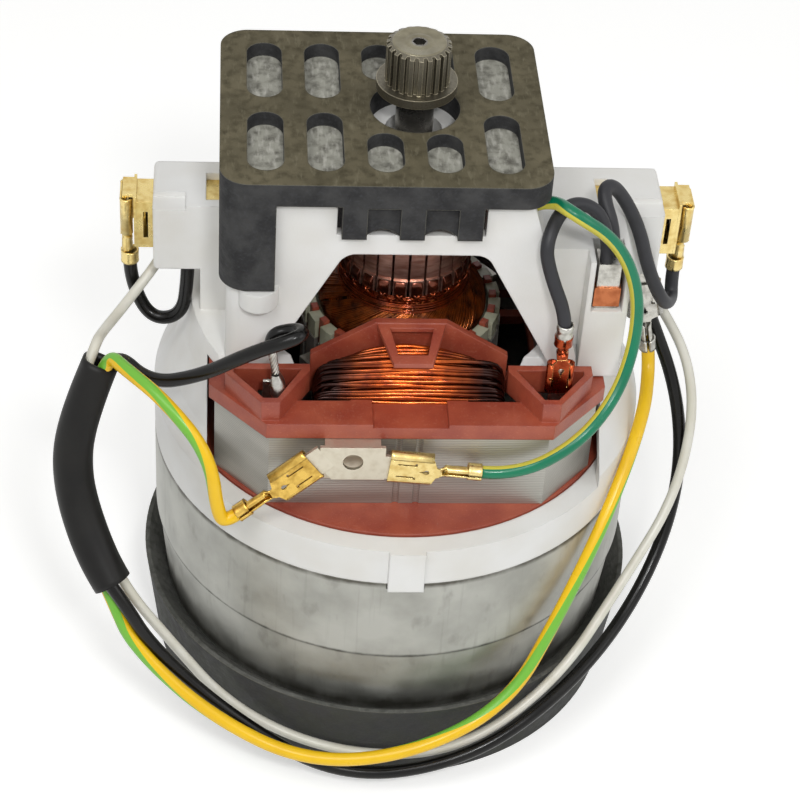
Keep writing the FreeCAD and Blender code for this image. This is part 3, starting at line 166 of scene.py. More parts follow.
def mouldedRubber(name, topHexes, sideHex, floorHex, floorHeight):
    # EPDM rubber from a mould: olive bloom on top, dark grey sides, chalky scuffed floors in the pockets
    topHex, paleHex, darkHex, scratchHex = topHexes
    material, tree, shader, place = startMaterial(name, topHex, 0.78, 0.0, 1.5, 0.2)
    facing = addNode(tree, "ShaderNodeNewGeometry").outputs["Normal"]
    upward = addNode(tree, "ShaderNodeSeparateXYZ", {}, {"Vector": facing}).outputs["Z"]
    height = addNode(tree, "ShaderNodeSeparateXYZ", {}, {"Vector": place}).outputs["Z"]
    patches = grain(tree, place, 9.0, 6.0)
    smears = grain(tree, place, 2.2, 5.0)
    scratches = grain(tree, place, 0.9, 4.0, (1.0, 0.28, 1.0))
    specks = grain(tree, place, 0.7, 4.0)
    sides = blendColours(tree, grain(tree, place, 5.0, 6.0), sideHex, "#414141", 0.40, 0.64)
    sides = blendColours(tree, specks, sides, "#46474a", 0.52, 0.98)
    tops = blendColours(tree, patches, topHex, paleHex, 0.34, 0.66)
    tops = blendColours(tree, smears, tops, darkHex, 0.46, 0.80)
    tops = blendColours(tree, scratches, tops, scratchHex, 0.56, 0.90)
    body = blendColours(tree, upward, sides, tops, 0.3, 0.8)
    below = addNode(tree, "ShaderNodeMath", {"operation": "LESS_THAN"}, {0: height, 1: floorHeight * mm})
    pitTop = addNode(tree, "ShaderNodeMath", {"operation": "MULTIPLY"}, {0: below.outputs[0], 1: upward})
    chalk = blendColours(tree, smears, floorHex, "#66645c", 0.42, 0.72)
    chalk = blendColours(tree, scratches, chalk, "#d2d0c6", 0.50, 0.86)
    body = wornAndHighlitEdge(tree, body, "#77756a", 0.45, 0.55)
    colour = blendColours(tree, pitTop.outputs[0], body, chalk, 0.5, 1.0)
    tree.links.new(colour, shader.inputs["Base Color"])
    varyRoughness(tree, shader, smears, 0.64, 0.86)
    roughBump(tree, shader, scratches, 0.22, 0.6)
    return material


def mouldedPlastic(name, hexText, shadeHex, roughness, edge, patchSize=14.0, grainDepth=0.02):
    # Injection moulded nylon or PBT: an even satin skin with a faint flow pattern and soft edges
    material, tree, shader, place = startMaterial(name, hexText, roughness, 0.0, 1.53)
    patches = grain(tree, place, patchSize, 3.0)
    colour = blendColours(tree, patches, hexText, shadeHex, 0.35, 0.75)
    tree.links.new(colour, shader.inputs["Base Color"])
    fine = grain(tree, place, 0.5, 2.0)
    varyRoughness(tree, shader, patches, roughness - 0.05, roughness + 0.08)
    roughBump(tree, shader, fine, grainDepth, edge)
    return material


def glassFilledRed(name):
    # Glass-filled PBT: brick red, slightly shiny, with paler fibre streaks and dusty patches
    material, tree, shader, place = startMaterial(name, "#984430", 0.38, 0.0, 1.55)
    patches = grain(tree, place, 7.0, 4.0)
    fibres = grain(tree, place, 0.45, 3.0)
    body = blendColours(tree, patches, "#8e3a2a", "#a9533a", 0.32, 0.70)
    colour = blendColours(tree, fibres, body, "#b9745c", 0.58, 0.95)
    tree.links.new(colour, shader.inputs["Base Color"])
    varyRoughness(tree, shader, fibres, 0.34, 0.52)
    roughBump(tree, shader, fibres, 0.04, 0.35)
    return material


def drawnAluminium(name, hexText, paleHex, roughness, shadeAndDirtLines=()):
    # Deep drawn sheet: dull silver, clouded, with faint upright draw marks; dark lines at given heights are
    # painted shade in its steps and a painted reflection of the rubber ring near its foot, with some dirt
    material, tree, shader, place = startMaterial(name, hexText, roughness, 0.9)
    marks = grain(tree, place, 1.6, 4.0, (1, 1, 0.05))
    clouds = grain(tree, place, 13.0, 6.0)
    smudges = grain(tree, place, 4.0, 4.0, (1, 1, 0.5))
    body = blendColours(tree, clouds, hexText, paleHex, 0.36, 0.64)
    body = blendColours(tree, marks, body, "#84847c", 0.60, 1.0)
    colour = blendColours(tree, smudges, body, "#72716a", 0.58, 0.95)
    height = addNode(tree, "ShaderNodeSeparateXYZ", {}, {"Vector": place}).outputs["Z"]
    # painted shade and painted reflection together with dirt: darker in bands at these heights
    for middle, reach, shadeAndDirtHex in shadeAndDirtLines:
        above = addNode(tree, "ShaderNodeMath", {"operation": "SUBTRACT"}, {0: height, 1: middle * mm})
        away = addNode(tree, "ShaderNodeMath", {"operation": "ABSOLUTE"}, {0: above.outputs[0]}).outputs[0]
        inputs = {"Value": away, "From Min": 0.0, "From Max": reach * mm, "To Min": 1.0, "To Max": 0.0}
        line = addNode(tree, "ShaderNodeMapRange", {}, inputs).outputs["Result"]
        shadeAndDirtMask = addNode(tree, "ShaderNodeMath", {"operation": "MULTIPLY"}, {0: line, 1: smudges}).outputs[0]
        colour = blendColours(tree, shadeAndDirtMask, colour, shadeAndDirtHex, 0.08, 0.5)
    tree.links.new(colour, shader.inputs["Base Color"])
    varyRoughness(tree, shader, clouds, roughness - 0.06, roughness + 0.12)
    roughBump(tree, shader, marks, 0.02, 0.25)
    return material


def stampedBrass(name, hexText, darkHex, roughness, edge=0.12, edgeHex=None):
    # Stamped strip: bright faces, browner in the folds, fine rolling marks
    material, tree, shader, place = startMaterial(name, hexText, roughness, 1.0)
    stain = grain(tree, place, 1.8, 3.0)
    colour = blendColours(tree, stain, hexText, darkHex, 0.45, 0.80)
    if edgeHex:
        colour = wornAndHighlitEdge(tree, colour, edgeHex, 0.2, 0.7)
    tree.links.new(colour, shader.inputs["Base Color"])
    varyRoughness(tree, shader, stain, roughness - 0.05, roughness + 0.14)
    fine = grain(tree, place, 0.35, 2.0)
    roughBump(tree, shader, fine, 0.02, edge)
    return material


def machinedSteel(name, hexText, darkHex, roughness, ringPitch, edge=0.15):
    # Turned or pressed steel: fine rings round the shaft, a little darker where oil stays
    material, tree, shader, place = startMaterial(name, hexText, roughness, 0.95)
    inputs = {"Vector": place, "Scale": waveRepeat / (ringPitch * mm), "Distortion": 0.6}
    rings = addNode(tree, "ShaderNodeTexWave", {"bands_direction": "Z"}, inputs).outputs["Fac"]
    stain = grain(tree, place, 3.0, 3.0)
    colour = blendColours(tree, stain, hexText, darkHex, 0.4, 0.8)
    tree.links.new(colour, shader.inputs["Base Color"])
    varyRoughness(tree, shader, stain, roughness - 0.06, roughness + 0.1)
    roughBump(tree, shader, rings, 0.008, edge)
    return material


def sinteredSteel(name):
    # Sintered iron: grey-brown and dull, with open pores about 0.4 mm across; its pale rims are wear and a
    # painted highlight
    material, tree, shader, place = startMaterial(name, "#6a6558", 0.34, 0.9)
    pores = grain(tree, place, 0.4, 2.0)
    colour = blendColours(tree, pores, "#6f6a5d", "#4b463b", 0.50, 0.90)
    # pale rims: wear together with a painted highlight
    colour = wornAndHighlitEdge(tree, colour, "#c4bba2", 0.30, 0.70)
    tree.links.new(colour, shader.inputs["Base Color"])
    varyRoughness(tree, shader, pores, 0.30, 0.46)
    roughBump(tree, shader, pores, 0.02, 0.14)
    return material


def stackedLaminations(name):
    # Electrical steel sheets of 0.5 mm, punched and stacked: thin level lines with bright and dull bands
    material, tree, shader, place = startMaterial(name, "#a09d96", 0.40, 0.75)
    sheetThick = 0.5
    inputs = {"Vector": place, "Scale": waveRepeat / (sheetThick * mm), "Distortion": 0.25, "Detail": 2.0}
    sheets = addNode(tree, "ShaderNodeTexWave", {"bands_direction": "Z"}, inputs).outputs["Fac"]
    bands = grain(tree, place, 5.0, 3.0, (0.15, 0.15, 1.0))
    body = blendColours(tree, bands, "#a3a199", "#bbb9b2", 0.3, 0.7)
    colour = blendColours(tree, sheets, "#94928c", body, 0.0, 0.35)
    tree.links.new(colour, shader.inputs["Base Color"])
    varyRoughness(tree, shader, bands, 0.34, 0.5)
    roughBump(tree, shader, sheets, 0.025, 0.0)
    return material


def enamelledCopper(name, hexText, darkHex, brightHalf=0.0):
    # Magnet wire: copper under amber varnish, glossy orange, and brown where the varnish pools;
    # on a field coil shade is painted in towards the ends of the turns out to the sides, so these are the
    # darkest
    material, tree, shader, place = startMaterial(name, hexText, 0.24, 0.85)
    shader.inputs["Coat Weight"].default_value = 0.25
    shader.inputs["Coat Roughness"].default_value = 0.10
    shader.inputs["Coat Tint"].default_value = linearColour("#f0a868")
    stain = grain(tree, place, 2.5, 4.0)
    colour = blendColours(tree, stain, hexText, darkHex, 0.35, 0.72)
    if brightHalf:
        # painted shade: the copper darkens from the middle out to the ends of the turns at the sides
        sideways = addNode(tree, "ShaderNodeSeparateXYZ", {}, {"Vector": place}).outputs["X"]
        away = addNode(tree, "ShaderNodeMath", {"operation": "ABSOLUTE"}, {0: sideways}).outputs[0]
        inputs = {"Value": away, "From Min": 0.2 * brightHalf * mm, "From Max": 1.3 * brightHalf * mm}
        paintedSideShade = addNode(tree, "ShaderNodeMapRange", {}, inputs).outputs["Result"]
        colour = blendColours(tree, paintedSideShade, colour, "#260b04", 0.0, 1.0)
    tree.links.new(colour, shader.inputs["Base Color"])
    fine = grain(tree, place, 0.8, 2.0)
    roughBump(tree, shader, fine, 0.02, 0.0)
    return material


def commutatorCopper(name):
    # Hard drawn copper, polished dull by the brushes: pinkish with a brown film
    material, tree, shader, place = startMaterial(name, "#a5735f", 0.34, 0.9)
    rings = grain(tree, place, 0.8, 3.0, (0.2, 0.2, 1.0))
    colour = blendColours(tree, rings, "#b07e6e", "#e0b8a6", 0.3, 0.75)
    tree.links.new(colour, shader.inputs["Base Color"])
    roughBump(tree, shader, rings, 0.02, 0.2)
    return material


def wireJacket(name, hexText, shadeHex, roughness, gloss, stripeHex=None, stripeWide=0.0):
    # Extruded PVC: smooth and glossy, a second colour runs along it as a stripe, this share of its round
    material, tree, shader, place = startMaterial(name, hexText, roughness, 0.0, 1.53, gloss)
    scuffs = grain(tree, place, 7.0, 3.0)
    colour = blendColours(tree, scuffs, hexText, shadeHex, 0.4, 0.8)
    if stripeHex:
        # V goes once round the wire and is half in the middle of the stripe
        half = 0.5
        unrolled = addNode(tree, "ShaderNodeTexCoord").outputs["UV"]
        turned = addNode(tree, "ShaderNodeSeparateXYZ", {}, {"Vector": unrolled}).outputs["Y"]
        offset = addNode(tree, "ShaderNodeMath", {"operation": "SUBTRACT"}, {0: turned, 1: half}).outputs[0]
        away = addNode(tree, "ShaderNodeMath", {"operation": "PINGPONG"}, {0: offset, 1: half}).outputs[0]
        stripe = addNode(tree, "ShaderNodeMath", {"operation": "LESS_THAN"}, {0: away, 1: stripeWide / 2})
        colour = blendColours(tree, stripe.outputs[0], colour, stripeHex, 0.0, 1.0)
    tree.links.new(colour, shader.inputs["Base Color"])
    varyRoughness(tree, shader, scuffs, roughness - 0.04, roughness + 0.1)
    fine = grain(tree, place, 1.2, 2.0)
    roughBump(tree, shader, fine, 0.015, 0.0)
    return material


def pressedCarbon(name):
    # Electrographite: nearly black, dull, with fine sparkle
    material, tree, shader, place = startMaterial(name, "#2b2b2d", 0.6, 0.2)
    sparkle = grain(tree, place, 0.3, 2.0)
    colour = blendColours(tree, sparkle, "#232325", "#4a4a4e", 0.5, 0.8)
    tree.links.new(colour, shader.inputs["Base Color"])
    roughBump(tree, shader, sparkle, 0.03, 0.2)
    return material


finish = {
    "rubberTop": mouldedRubber("moulded EPDM rubber top", ("#544e3c", "#665f4b", "#3f3a2b", "#77715d"),
                               "#2e2e2f", "#a5a499", 146.5),
    "rubberFoot": mouldedRubber("moulded EPDM rubber foot", ("#51524e", "#62625e", "#3c3c39", "#74746e"),
                                "#42433f", "#6b6c65", -1.0),
    "white": mouldedPlastic("moulded white PBT", "#e8e8e6", "#dfddd7", 0.42, 0.45),
    "red": glassFilledRed("glass filled red PBT"),
    "pale": mouldedPlastic("pale slot insulation", "#b9bba4", "#a3a58c", 0.3, 0.3, 4.0),
    "darkMoulding": mouldedPlastic("dark phenolic moulding", "#2a2622", "#1d1a18", 0.45, 0.3, 5.0),
    # the shell's dark lines: painted shade in its steps and painted reflection of the rubber ring low down,
    # with some dirt
    "aluminium": drawnAluminium("deep drawn aluminium", "#95958f", "#b0b0aa", 0.42,
                                [(39.4, 1.1, "#2c2b27"), (21.5, 3.2, "#68665f"), (62.0, 1.4, "#5b5952")]),
    "castAluminium": drawnAluminium("pressed aluminium", "#9c9d95", "#adada5", 0.42),
    "brass": stampedBrass("stamped brass", "#e3cd8c", "#c6a458", 0.27),
    "darkBrass": stampedBrass("tarnished brass", "#d9b45c", "#9c7630", 0.26),
    # a brass strip whose red base colour is a painted reflection of the red end frames; its edges keep the
    # brass colour
    "brassWithRedReflection": stampedBrass("brass with painted red reflection", "#9a4426", "#641f12", 0.2, 0.12, "#d8b070"),
    "tin": stampedBrass("tinned strip", "#bdbbb4", "#7d7a74", 0.26),
    "zinc": stampedBrass("zinc plated strip", "#cdc6b5", "#c5bdab", 0.46),
    "coppery": stampedBrass("copper strip", "#b8704a", "#9a5536", 0.3),
    "steel": machinedSteel("turned steel", "#8f8c86", "#64605a", 0.26, 0.3),
    "sintered": sinteredSteel("sintered iron"),
    "faced": machinedSteel("faced iron", "#8c8672", "#6f6957", 0.3, 0.3),
    "laminations": stackedLaminations("stacked electrical steel"),
    "copperWire": enamelledCopper("enamelled copper wire", "#dc7028", "#8a3410", 12.0),
    "armatureWire": enamelledCopper("varnished armature wire", "#a4591f", "#351508"),
    # near-black: painted shade that shows in the gaps between the strands
    "windingShadeCore": enamelledCopper("winding core painted in shade", "#1d0b05", "#0f0603"),
    "commutator": commutatorCopper("brush-worn copper"),
    "hookCopper": enamelledCopper("varnished hook copper", "#7c4430", "#3f1c12"),
    "neckWire": enamelledCopper("golden neck wire", "#a04a20", "#4f1c0c"),
    "carbon": pressedCarbon("pressed electrographite"),
    "blackJacket": wireJacket("black PVC jacket", "#0b0a09", "#141310", 0.20, 0.24),
    "softJacket": wireJacket("dark silicone jacket", "#2a2a2d", "#353539", 0.5, 0.3),
    "whiteJacket": wireJacket("white PVC jacket", "#dcdacf", "#cfcbbb", 0.34, 0.5),
    "earthJacket": wireJacket("yellow and green PVC jacket", "#f2c414", "#e9b90f", 0.30, 0.4,
                              "#74ba3c", 0.25),
    "bondJacket": wireJacket("green and yellow PVC jacket", "#087a56", "#06694a", 0.24, 0.36,
                             "#cfc648", 0.36),
    "shrinkTube": wireJacket("dark shrink sleeve", "#121110", "#1c1b19", 0.42, 0.22),
}

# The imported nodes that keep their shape, by finish
nodeFinish = {
    "white": ["motor_housing"],
    "rubberTop": ["top_rubber_mount"],
    "rubberFoot": ["bottom_rubber_ring"],
    "red": ["upper_end_frame", "lower_end_frame", "slot_wedges"],
    "pale": ["armature_end_insulators"],
    "darkMoulding": ["commutator_hub", "diffuser"],
    "aluminium": ["fan_shell"],
    "castAluminium": ["impeller", "lower_bearing_bracket"],
    "brass": ["brush_tube_right", "brush_tube_left", "brush_cap_right", "brush_cap_left"],
    "tin": ["field_terminal_right", "far_earth_tab", "thermal_cutout"],
    "zinc": ["earth_bracket"],
    "coppery": ["cutout_band"],
    "steel": ["rotor_shaft", "bearing_outer_rings", "bearing_inner_rings", "fan_nut", "fan_spacer"],
    "sintered": ["drive_pinion"],
    "laminations": ["armature_core", "stator_core"],
    "commutator": ["commutator_bars"],
    "carbon": ["carbon_brush_right", "carbon_brush_left"],
}
for finishName, nodeNames in nodeFinish.items():
    for nodeName in nodeNames:
        slots = nodes[nodeName].data.materials
        slots.clear()
        slots.append(finish[finishName])


print("cords")


def metres(point):
    return Vector(point) * mm


def addSpline(curve, points, order, smooth, closed=False):
    spline = curve.splines.new("NURBS")
    spline.points.add(len(points) - 1)
    for handle, point in zip(spline.points, points):
        handle.co = (*metres(point), 1.0)
    spline.use_cyclic_u = closed
    spline.order_u = order
    spline.use_endpoint_u = not closed
    spline.resolution_u = smooth


def addCurve(name, runs, radius, material, closed=False, order=3, smooth=8, rounds=4):
    # one curve object with a spline for each run of points, in millimetres
    curve = bpy.data.curves.new(name, "CURVE")
    curve.dimensions = "3D"
    curve.bevel_depth = radius * mm
    curve.bevel_resolution = rounds
    curve.use_fill_caps = not closed
    for points in runs:
        addSpline(curve, points, order, smooth, closed)
    piece = bpy.data.objects.new(name, curve)
    bpy.context.scene.collection.objects.link(piece)
    curve.materials.append(material)
    return piece


def addMesh(name, corners, faces, material, smooth=True):
    mesh = bpy.data.meshes.new(name)
    mesh.from_pydata([metres(c) for c in corners], [], faces)
    mesh.materials.append(material)
    piece = bpy.data.objects.new(name, mesh)
    bpy.context.scene.collection.objects.link(piece)
    if smooth:
        mesh.shade_smooth()
    return piece


# Each wire: its route, its radius, how long it is and what it meets at its far end
wires = {
    "lead_black": {
        "finish": "blackJacket", "slot": "black_insulation", "radius": 1.5, "length": 369.1,
        "farEnd": "object",
        "route": [(-29.4, -33.6, 110.2), (-29.9, -33.4, 113.7), (-25.0, -33.4, 115.2), (-22.9, -36.4, 117.0),
                  (-24.9, -39.2, 117.4), (-33.8, -38.0, 112.6), (-44.2, -34.0, 102.8), (-54.8, -29.6, 96.8),
                  (-62.8, -21.7, 99.7), (-70.3, -26.0, 85.8), (-74.5, -33.5, 73.1), (-68.6, -43.3, 60.1),
                  (-60.8, -49.4, 51.4), (-54.6, -50.2, 37.4), (-36.4, -52.8, 16.5), (-12.0, -61.8, 6.2),
                  (15.5, -61.3, 11.2), (38.0, -49.3, 19.8), (56.1, -30.4, 29.7), (66.5, -14.0, 48.2),
                  (65.4, -5.2, 72.0), (55.0, 3.4, 95.0), (52.2, 2.6, 102.6), (52.2, 2.6, 110.7)]},
    "lead_white": {
        "finish": "whiteJacket", "slot": "white_insulation", "radius": 1.15, "length": 336.2,
        "farEnd": "object",
        "route": [(-51.6, 3.0, 110.7), (-51.6, 3.0, 107.6), (-61.4, -6.7, 98.6), (-65.6, -16.4, 99.4),
                  (-66.4, -22.2, 101.4), (-72.1, -29.2, 87.5), (-71.2, -35.5, 74.4), (-65.2, -41.1, 60.5),
                  (-59.4, -45.8, 50.1), (-52.6, -46.1, 38.5), (-36.7, -48.8, 15.1), (-12.3, -57.3, 9.2),
                  (14.7, -58.8, 11.6), (37.2, -47.1, 22.6), (51.7, -32.2, 38.2), (66.1, -15.9, 54.0),
                  (68.6, -4.4, 78.0), (58.0, 8.0, 93.6), (49.4, 6.4, 99.6), (49.4, 6.4, 110.7)]},
    "lead_earth": {
        "finish": "earthJacket", "slot": "yellow_insulation", "radius": 1.5, "length": 312.3,
        "farEnd": "connector",
        "stripeLay": [-0.45, -0.40, -0.33, -0.14, 0.03, 0.09, 0.07, 0.05, 0.04, 0.03, 0.03, 0.14, 0.30, 0.44,
                      0.63, 0.86, 1.03, 1.15, 1.28, 1.38, 1.45],
        "pieces": ["earth_receptacle_right"],
        "route": [(-36.0, -47.7, 76.4), (-38.0, -48.2, 75.0), (-40.2, -48.8, 76.0), (-42.0, -47.2, 92.4),
                  (-51.3, -40.4, 101.5), (-60.0, -31.4, 102.6), (-63.7, -25.3, 101.4), (-68.2, -29.4, 86.5),
                  (-70.9, -31.8, 72.7), (-68.3, -39.8, 58.2), (-62.9, -47.3, 48.7), (-58.6, -51.6, 39.2),
                  (-42.4, -56.6, 22.6), (-20.8, -63.2, 13.7), (2.4, -65.4, 18.4), (25.2, -55.6, 24.1),
                  (35.9, -46.1, 43.9), (45.3, -35.7, 62.9), (54.2, -18.5, 77.6), (57.2, -3.3, 80.5),
                  (56.1, -3.4, 86.4)]},
    "bond_wire": {
        "finish": "bondJacket", "slot": "green_insulation", "radius": 1.4, "length": 97.0,
        "farEnd": "connector",
        "stripeLay": [0.24, 0.26, 0.27, 0.28, 0.27, 0.25, 0.25],
        "pieces": ["bond_receptacle"],
        "route": [(24.1, -22.4, 139.9), (27.5, -22.4, 141.0), (30.4, -29.6, 143.2), (40.7, -27.2, 134.5),
                  (46.4, -27.6, 123.1), (47.4, -29.2, 109.7), (43.8, -34.9, 98.6), (35.2, -43.1, 92.4),
                  (23.2, -43.8, 84.2), (15.2, -43.6, 84.9)]},
    "field_wire": {
        "finish": "softJacket", "slot": "black_insulation", "radius": 1.45, "length": 51.0,
        "farEnd": "object",
        "pieces": ["field_receptacle"],
        "route": [(31.4, -32.6, 113.4), (31.4, -32.6, 118.4), (27.6, -29.2, 126.8), (25.7, -29.0, 134.8),
                  (30.2, -21.0, 139.4), (37.0, -20.2, 138.0), (40.0, -23.0, 131.4), (40.0, -23.0, 126.0)]},
    "brush_wire_right": {
        "finish": "softJacket", "slot": "black_insulation", "radius": 1.5, "length": 69.9,
        "farEnd": "connector",
        "pieces": ["brush_receptacle_right"],
        "route": [(41.6, -20.0, 126.0), (41.6, -20.0, 131.0), (38.6, -14.2, 137.6), (42.0, -10.8, 137.0),
                  (48.2, -10.6, 126.4), (52.0, -10.4, 113.6), (56.6, -9.8, 103.8), (59.8, -3.0, 99.6),
                  (59.8, 0.0, 102.8), (59.8, 0.0, 107.0)]},
    "brush_wire_left": {
        "finish": "blackJacket", "slot": "black_insulation", "radius": 1.5, "length": 37.1,
        "farEnd": "connector",
        "pieces": ["brush_receptacle_left"],
        "route": [(-47.2, -4.6, 110.7), (-47.2, -4.6, 106.4), (-48.4, -4.6, 95.0), (-55.6, -3.2, 92.8),
                  (-59.8, 0.0, 101.4), (-59.8, 0.0, 107.0)]},
}
# The shrink sleeve round the three leads: a thin soft tube with slack folds at its mouth
sleeve = {
    "route": [(-65.4, -24.0, 98.2), (-70.2, -28.2, 86.6), (-72.2, -33.6, 73.4), (-67.4, -41.4, 59.6),
              (-63.0, -45.6, 53.0)],
    "radius": 4.6, "inset": 0.35, "wall": 0.6, "around": 40,
    # how slack it is, at its ends and as a share of that in its middle, and its folds: how many go round,
    # how they wind along it and how deep they are
    "slack": 0.12, "middleSlack": 0.35, "folds": [(2, 5, 0.5), (3, -9, 0.3)],
}


def smoothLine(points, steps):
    # the middle line that a NURBS spline of these points gives
    curve = bpy.data.curves.new("middleLine", "CURVE")
    curve.dimensions = "3D"
    addSpline(curve, points, 3, steps)
    holder = bpy.data.objects.new("middleLine", curve)
    bpy.context.scene.collection.objects.link(holder)
    bpy.context.view_layer.update()
    mesh = bpy.data.meshes.new_from_object(holder.evaluated_get(bpy.context.evaluated_depsgraph_get()))
    line = [v.co / mm for v in mesh.vertices]
    bpy.data.objects.remove(holder)
    return line


def ringFaces(start, rings, around, inward=False, closed=False):
    # quads between rings of corners that follow one another in the list
    faces = []
    for i in range(rings if closed else rings - 1):
        here = start + i * around
        there = start + (i + 1) % rings * around
        for k in range(around):
            j = (k + 1) % around
            quad = [here + k, here + j, there + j, there + k]
            faces.append(quad[::-1] if inward else quad)
    return faces


def turnedCorners(outline, around, lobeAt=lambda r, a: 1.0):
    # one ring of corners for each radius and height of an outline
    corners = []
    for r, z in outline:
        for k in range(around):
            a = 2 * math.pi * k / around
            reach = r * lobeAt(r, a)
            corners.append((reach * math.cos(a), reach * math.sin(a), z))
    return corners


def lineAhead(line, i):
    # the direction of a line at one of its points, from its neighbours
    return (line[min(i + 1, len(line) - 1)] - line[max(i - 1, 0)]).normalized()


def tubeAlong(line, radiusAt, around, inner=None):
    # rings of corners along a line; an inner surface closes it to a wall
    corners = []
    faces = []
    side = None
    frames = []
    for i, point in enumerate(line):
        ahead = lineAhead(line, i)
        if side is None:
            side = ahead.cross(Vector((1, 0, 0) if abs(ahead.z) > 0.9 else (0, 0, 1))).normalized()
        side = (side - ahead * side.dot(ahead)).normalized()
        frames.append((point, side.copy(), ahead.cross(side)))
    walls = [0.0] if inner is None else [0.0, inner]
    for wall in walls:
        for i, (point, across, over) in enumerate(frames):
            for k in range(around):
                a = 2 * math.pi * k / around
                r = radiusAt(i / (len(frames) - 1), a) - wall
                corners.append(point + across * (r * math.cos(a)) + over * (r * math.sin(a)))
    rings = len(frames)
    for w in range(len(walls)):
        faces += ringFaces(w * rings * around, rings, around, inward=w > 0)
    if inner is not None:
        far = (rings - 1) * around
        start = rings * around
        for k in range(around):
            j = (k + 1) % around
            faces.append([k, start + k, start + j, j])
            faces.append([far + j, start + far + j, start + far + k, far + k])
    return corners, faces


def paintRound(piece, line, around, lay):
    # a UV layer whose V goes once round the tube; lay says where the stripe sits, in turns from the
    # side that looks forward and up, at evenly spaced places along the wire
    mesh = piece.data
    layer = mesh.uv_layers.new(name="round")
    forward = Vector((0, -0.7, 0.7))
    angles = []
    for i, point in enumerate(line):
        ahead = lineAhead(line, i)
        front = (forward - ahead * forward.dot(ahead)).normalized()
        beside = ahead.cross(front)
        at = i / (len(line) - 1) * (len(lay) - 1)
        k = min(int(at), len(lay) - 2)
        stripe = lay[k] + (lay[k + 1] - lay[k]) * (at - k)
        for corner in range(around):
            out = mesh.vertices[i * around + corner].co / mm - point
            turned = math.atan2(out.dot(beside), out.dot(front)) / (2 * math.pi)
            angles.append((turned % 1.0, i / len(line), stripe))
    for face in mesh.polygons:
        values = [angles[v] for v in face.vertices]
        low = min(v[0] for v in values)
        for loop, (turned, along, stripe) in zip(face.loop_indices, values):
            if turned - low > 0.5:
                turned -= 1
            layer.data[loop].uv = (along, turned - stripe + 0.5)


stepsPerPoint = 14   # of a smooth line
around = 24          # sides of a striped wire
for nodeName, wire in wires.items():
    if "stripeLay" in wire:
        line = smoothLine(wire["route"], stepsPerPoint)
        corners, faces = tubeAlong(line, lambda t, a: wire["radius"], around)
        last = (len(line) - 1) * around
        faces += [list(range(around))[::-1], [last + k for k in range(around)]]
        piece = addMesh(nodeName + "_jacket", corners, faces, finish[wire["finish"]])
        paintRound(piece, line, around, wire["stripeLay"])
    else:
        piece = addCurve(nodeName + "_jacket", [wire["route"]], wire["radius"], finish[wire["finish"]],
                         smooth=12, rounds=6)
    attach(piece, "stator")
    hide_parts(nodeName)


def sleeveRadius(t, a):
    folds = sum(math.sin(count * a + wind * t) * deep for count, wind, deep in sleeve["folds"])
    loose = sleeve["middleSlack"] + (1 - sleeve["middleSlack"]) * abs(2 * t - 1)
    return sleeve["radius"] * (1 + sleeve["slack"] * folds * loose) - sleeve["inset"]


sleeveLine = smoothLine(sleeve["route"], stepsPerPoint)
corners, faces = tubeAlong(sleeveLine, sleeveRadius, sleeve["around"], sleeve["wall"])
sleevePiece = addMesh("cable_sleeve_tube", corners, faces, finish["shrinkTube"])
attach(sleevePiece, "stator")
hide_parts("cable_sleeve")

print("push-on terminals")


def terminalPlace(origin, along, up):
    # local X runs from the wire end to the mouth, local Z from the flat back outwards
    x = Vector(along).normalized()
    z = Vector(up)
    z = (z - x * z.dot(x)).normalized()
    y = z.cross(x)
    return Matrix.Translation(Vector(origin) * mm) @ Matrix((x, y, z)).transposed().to_4x4()


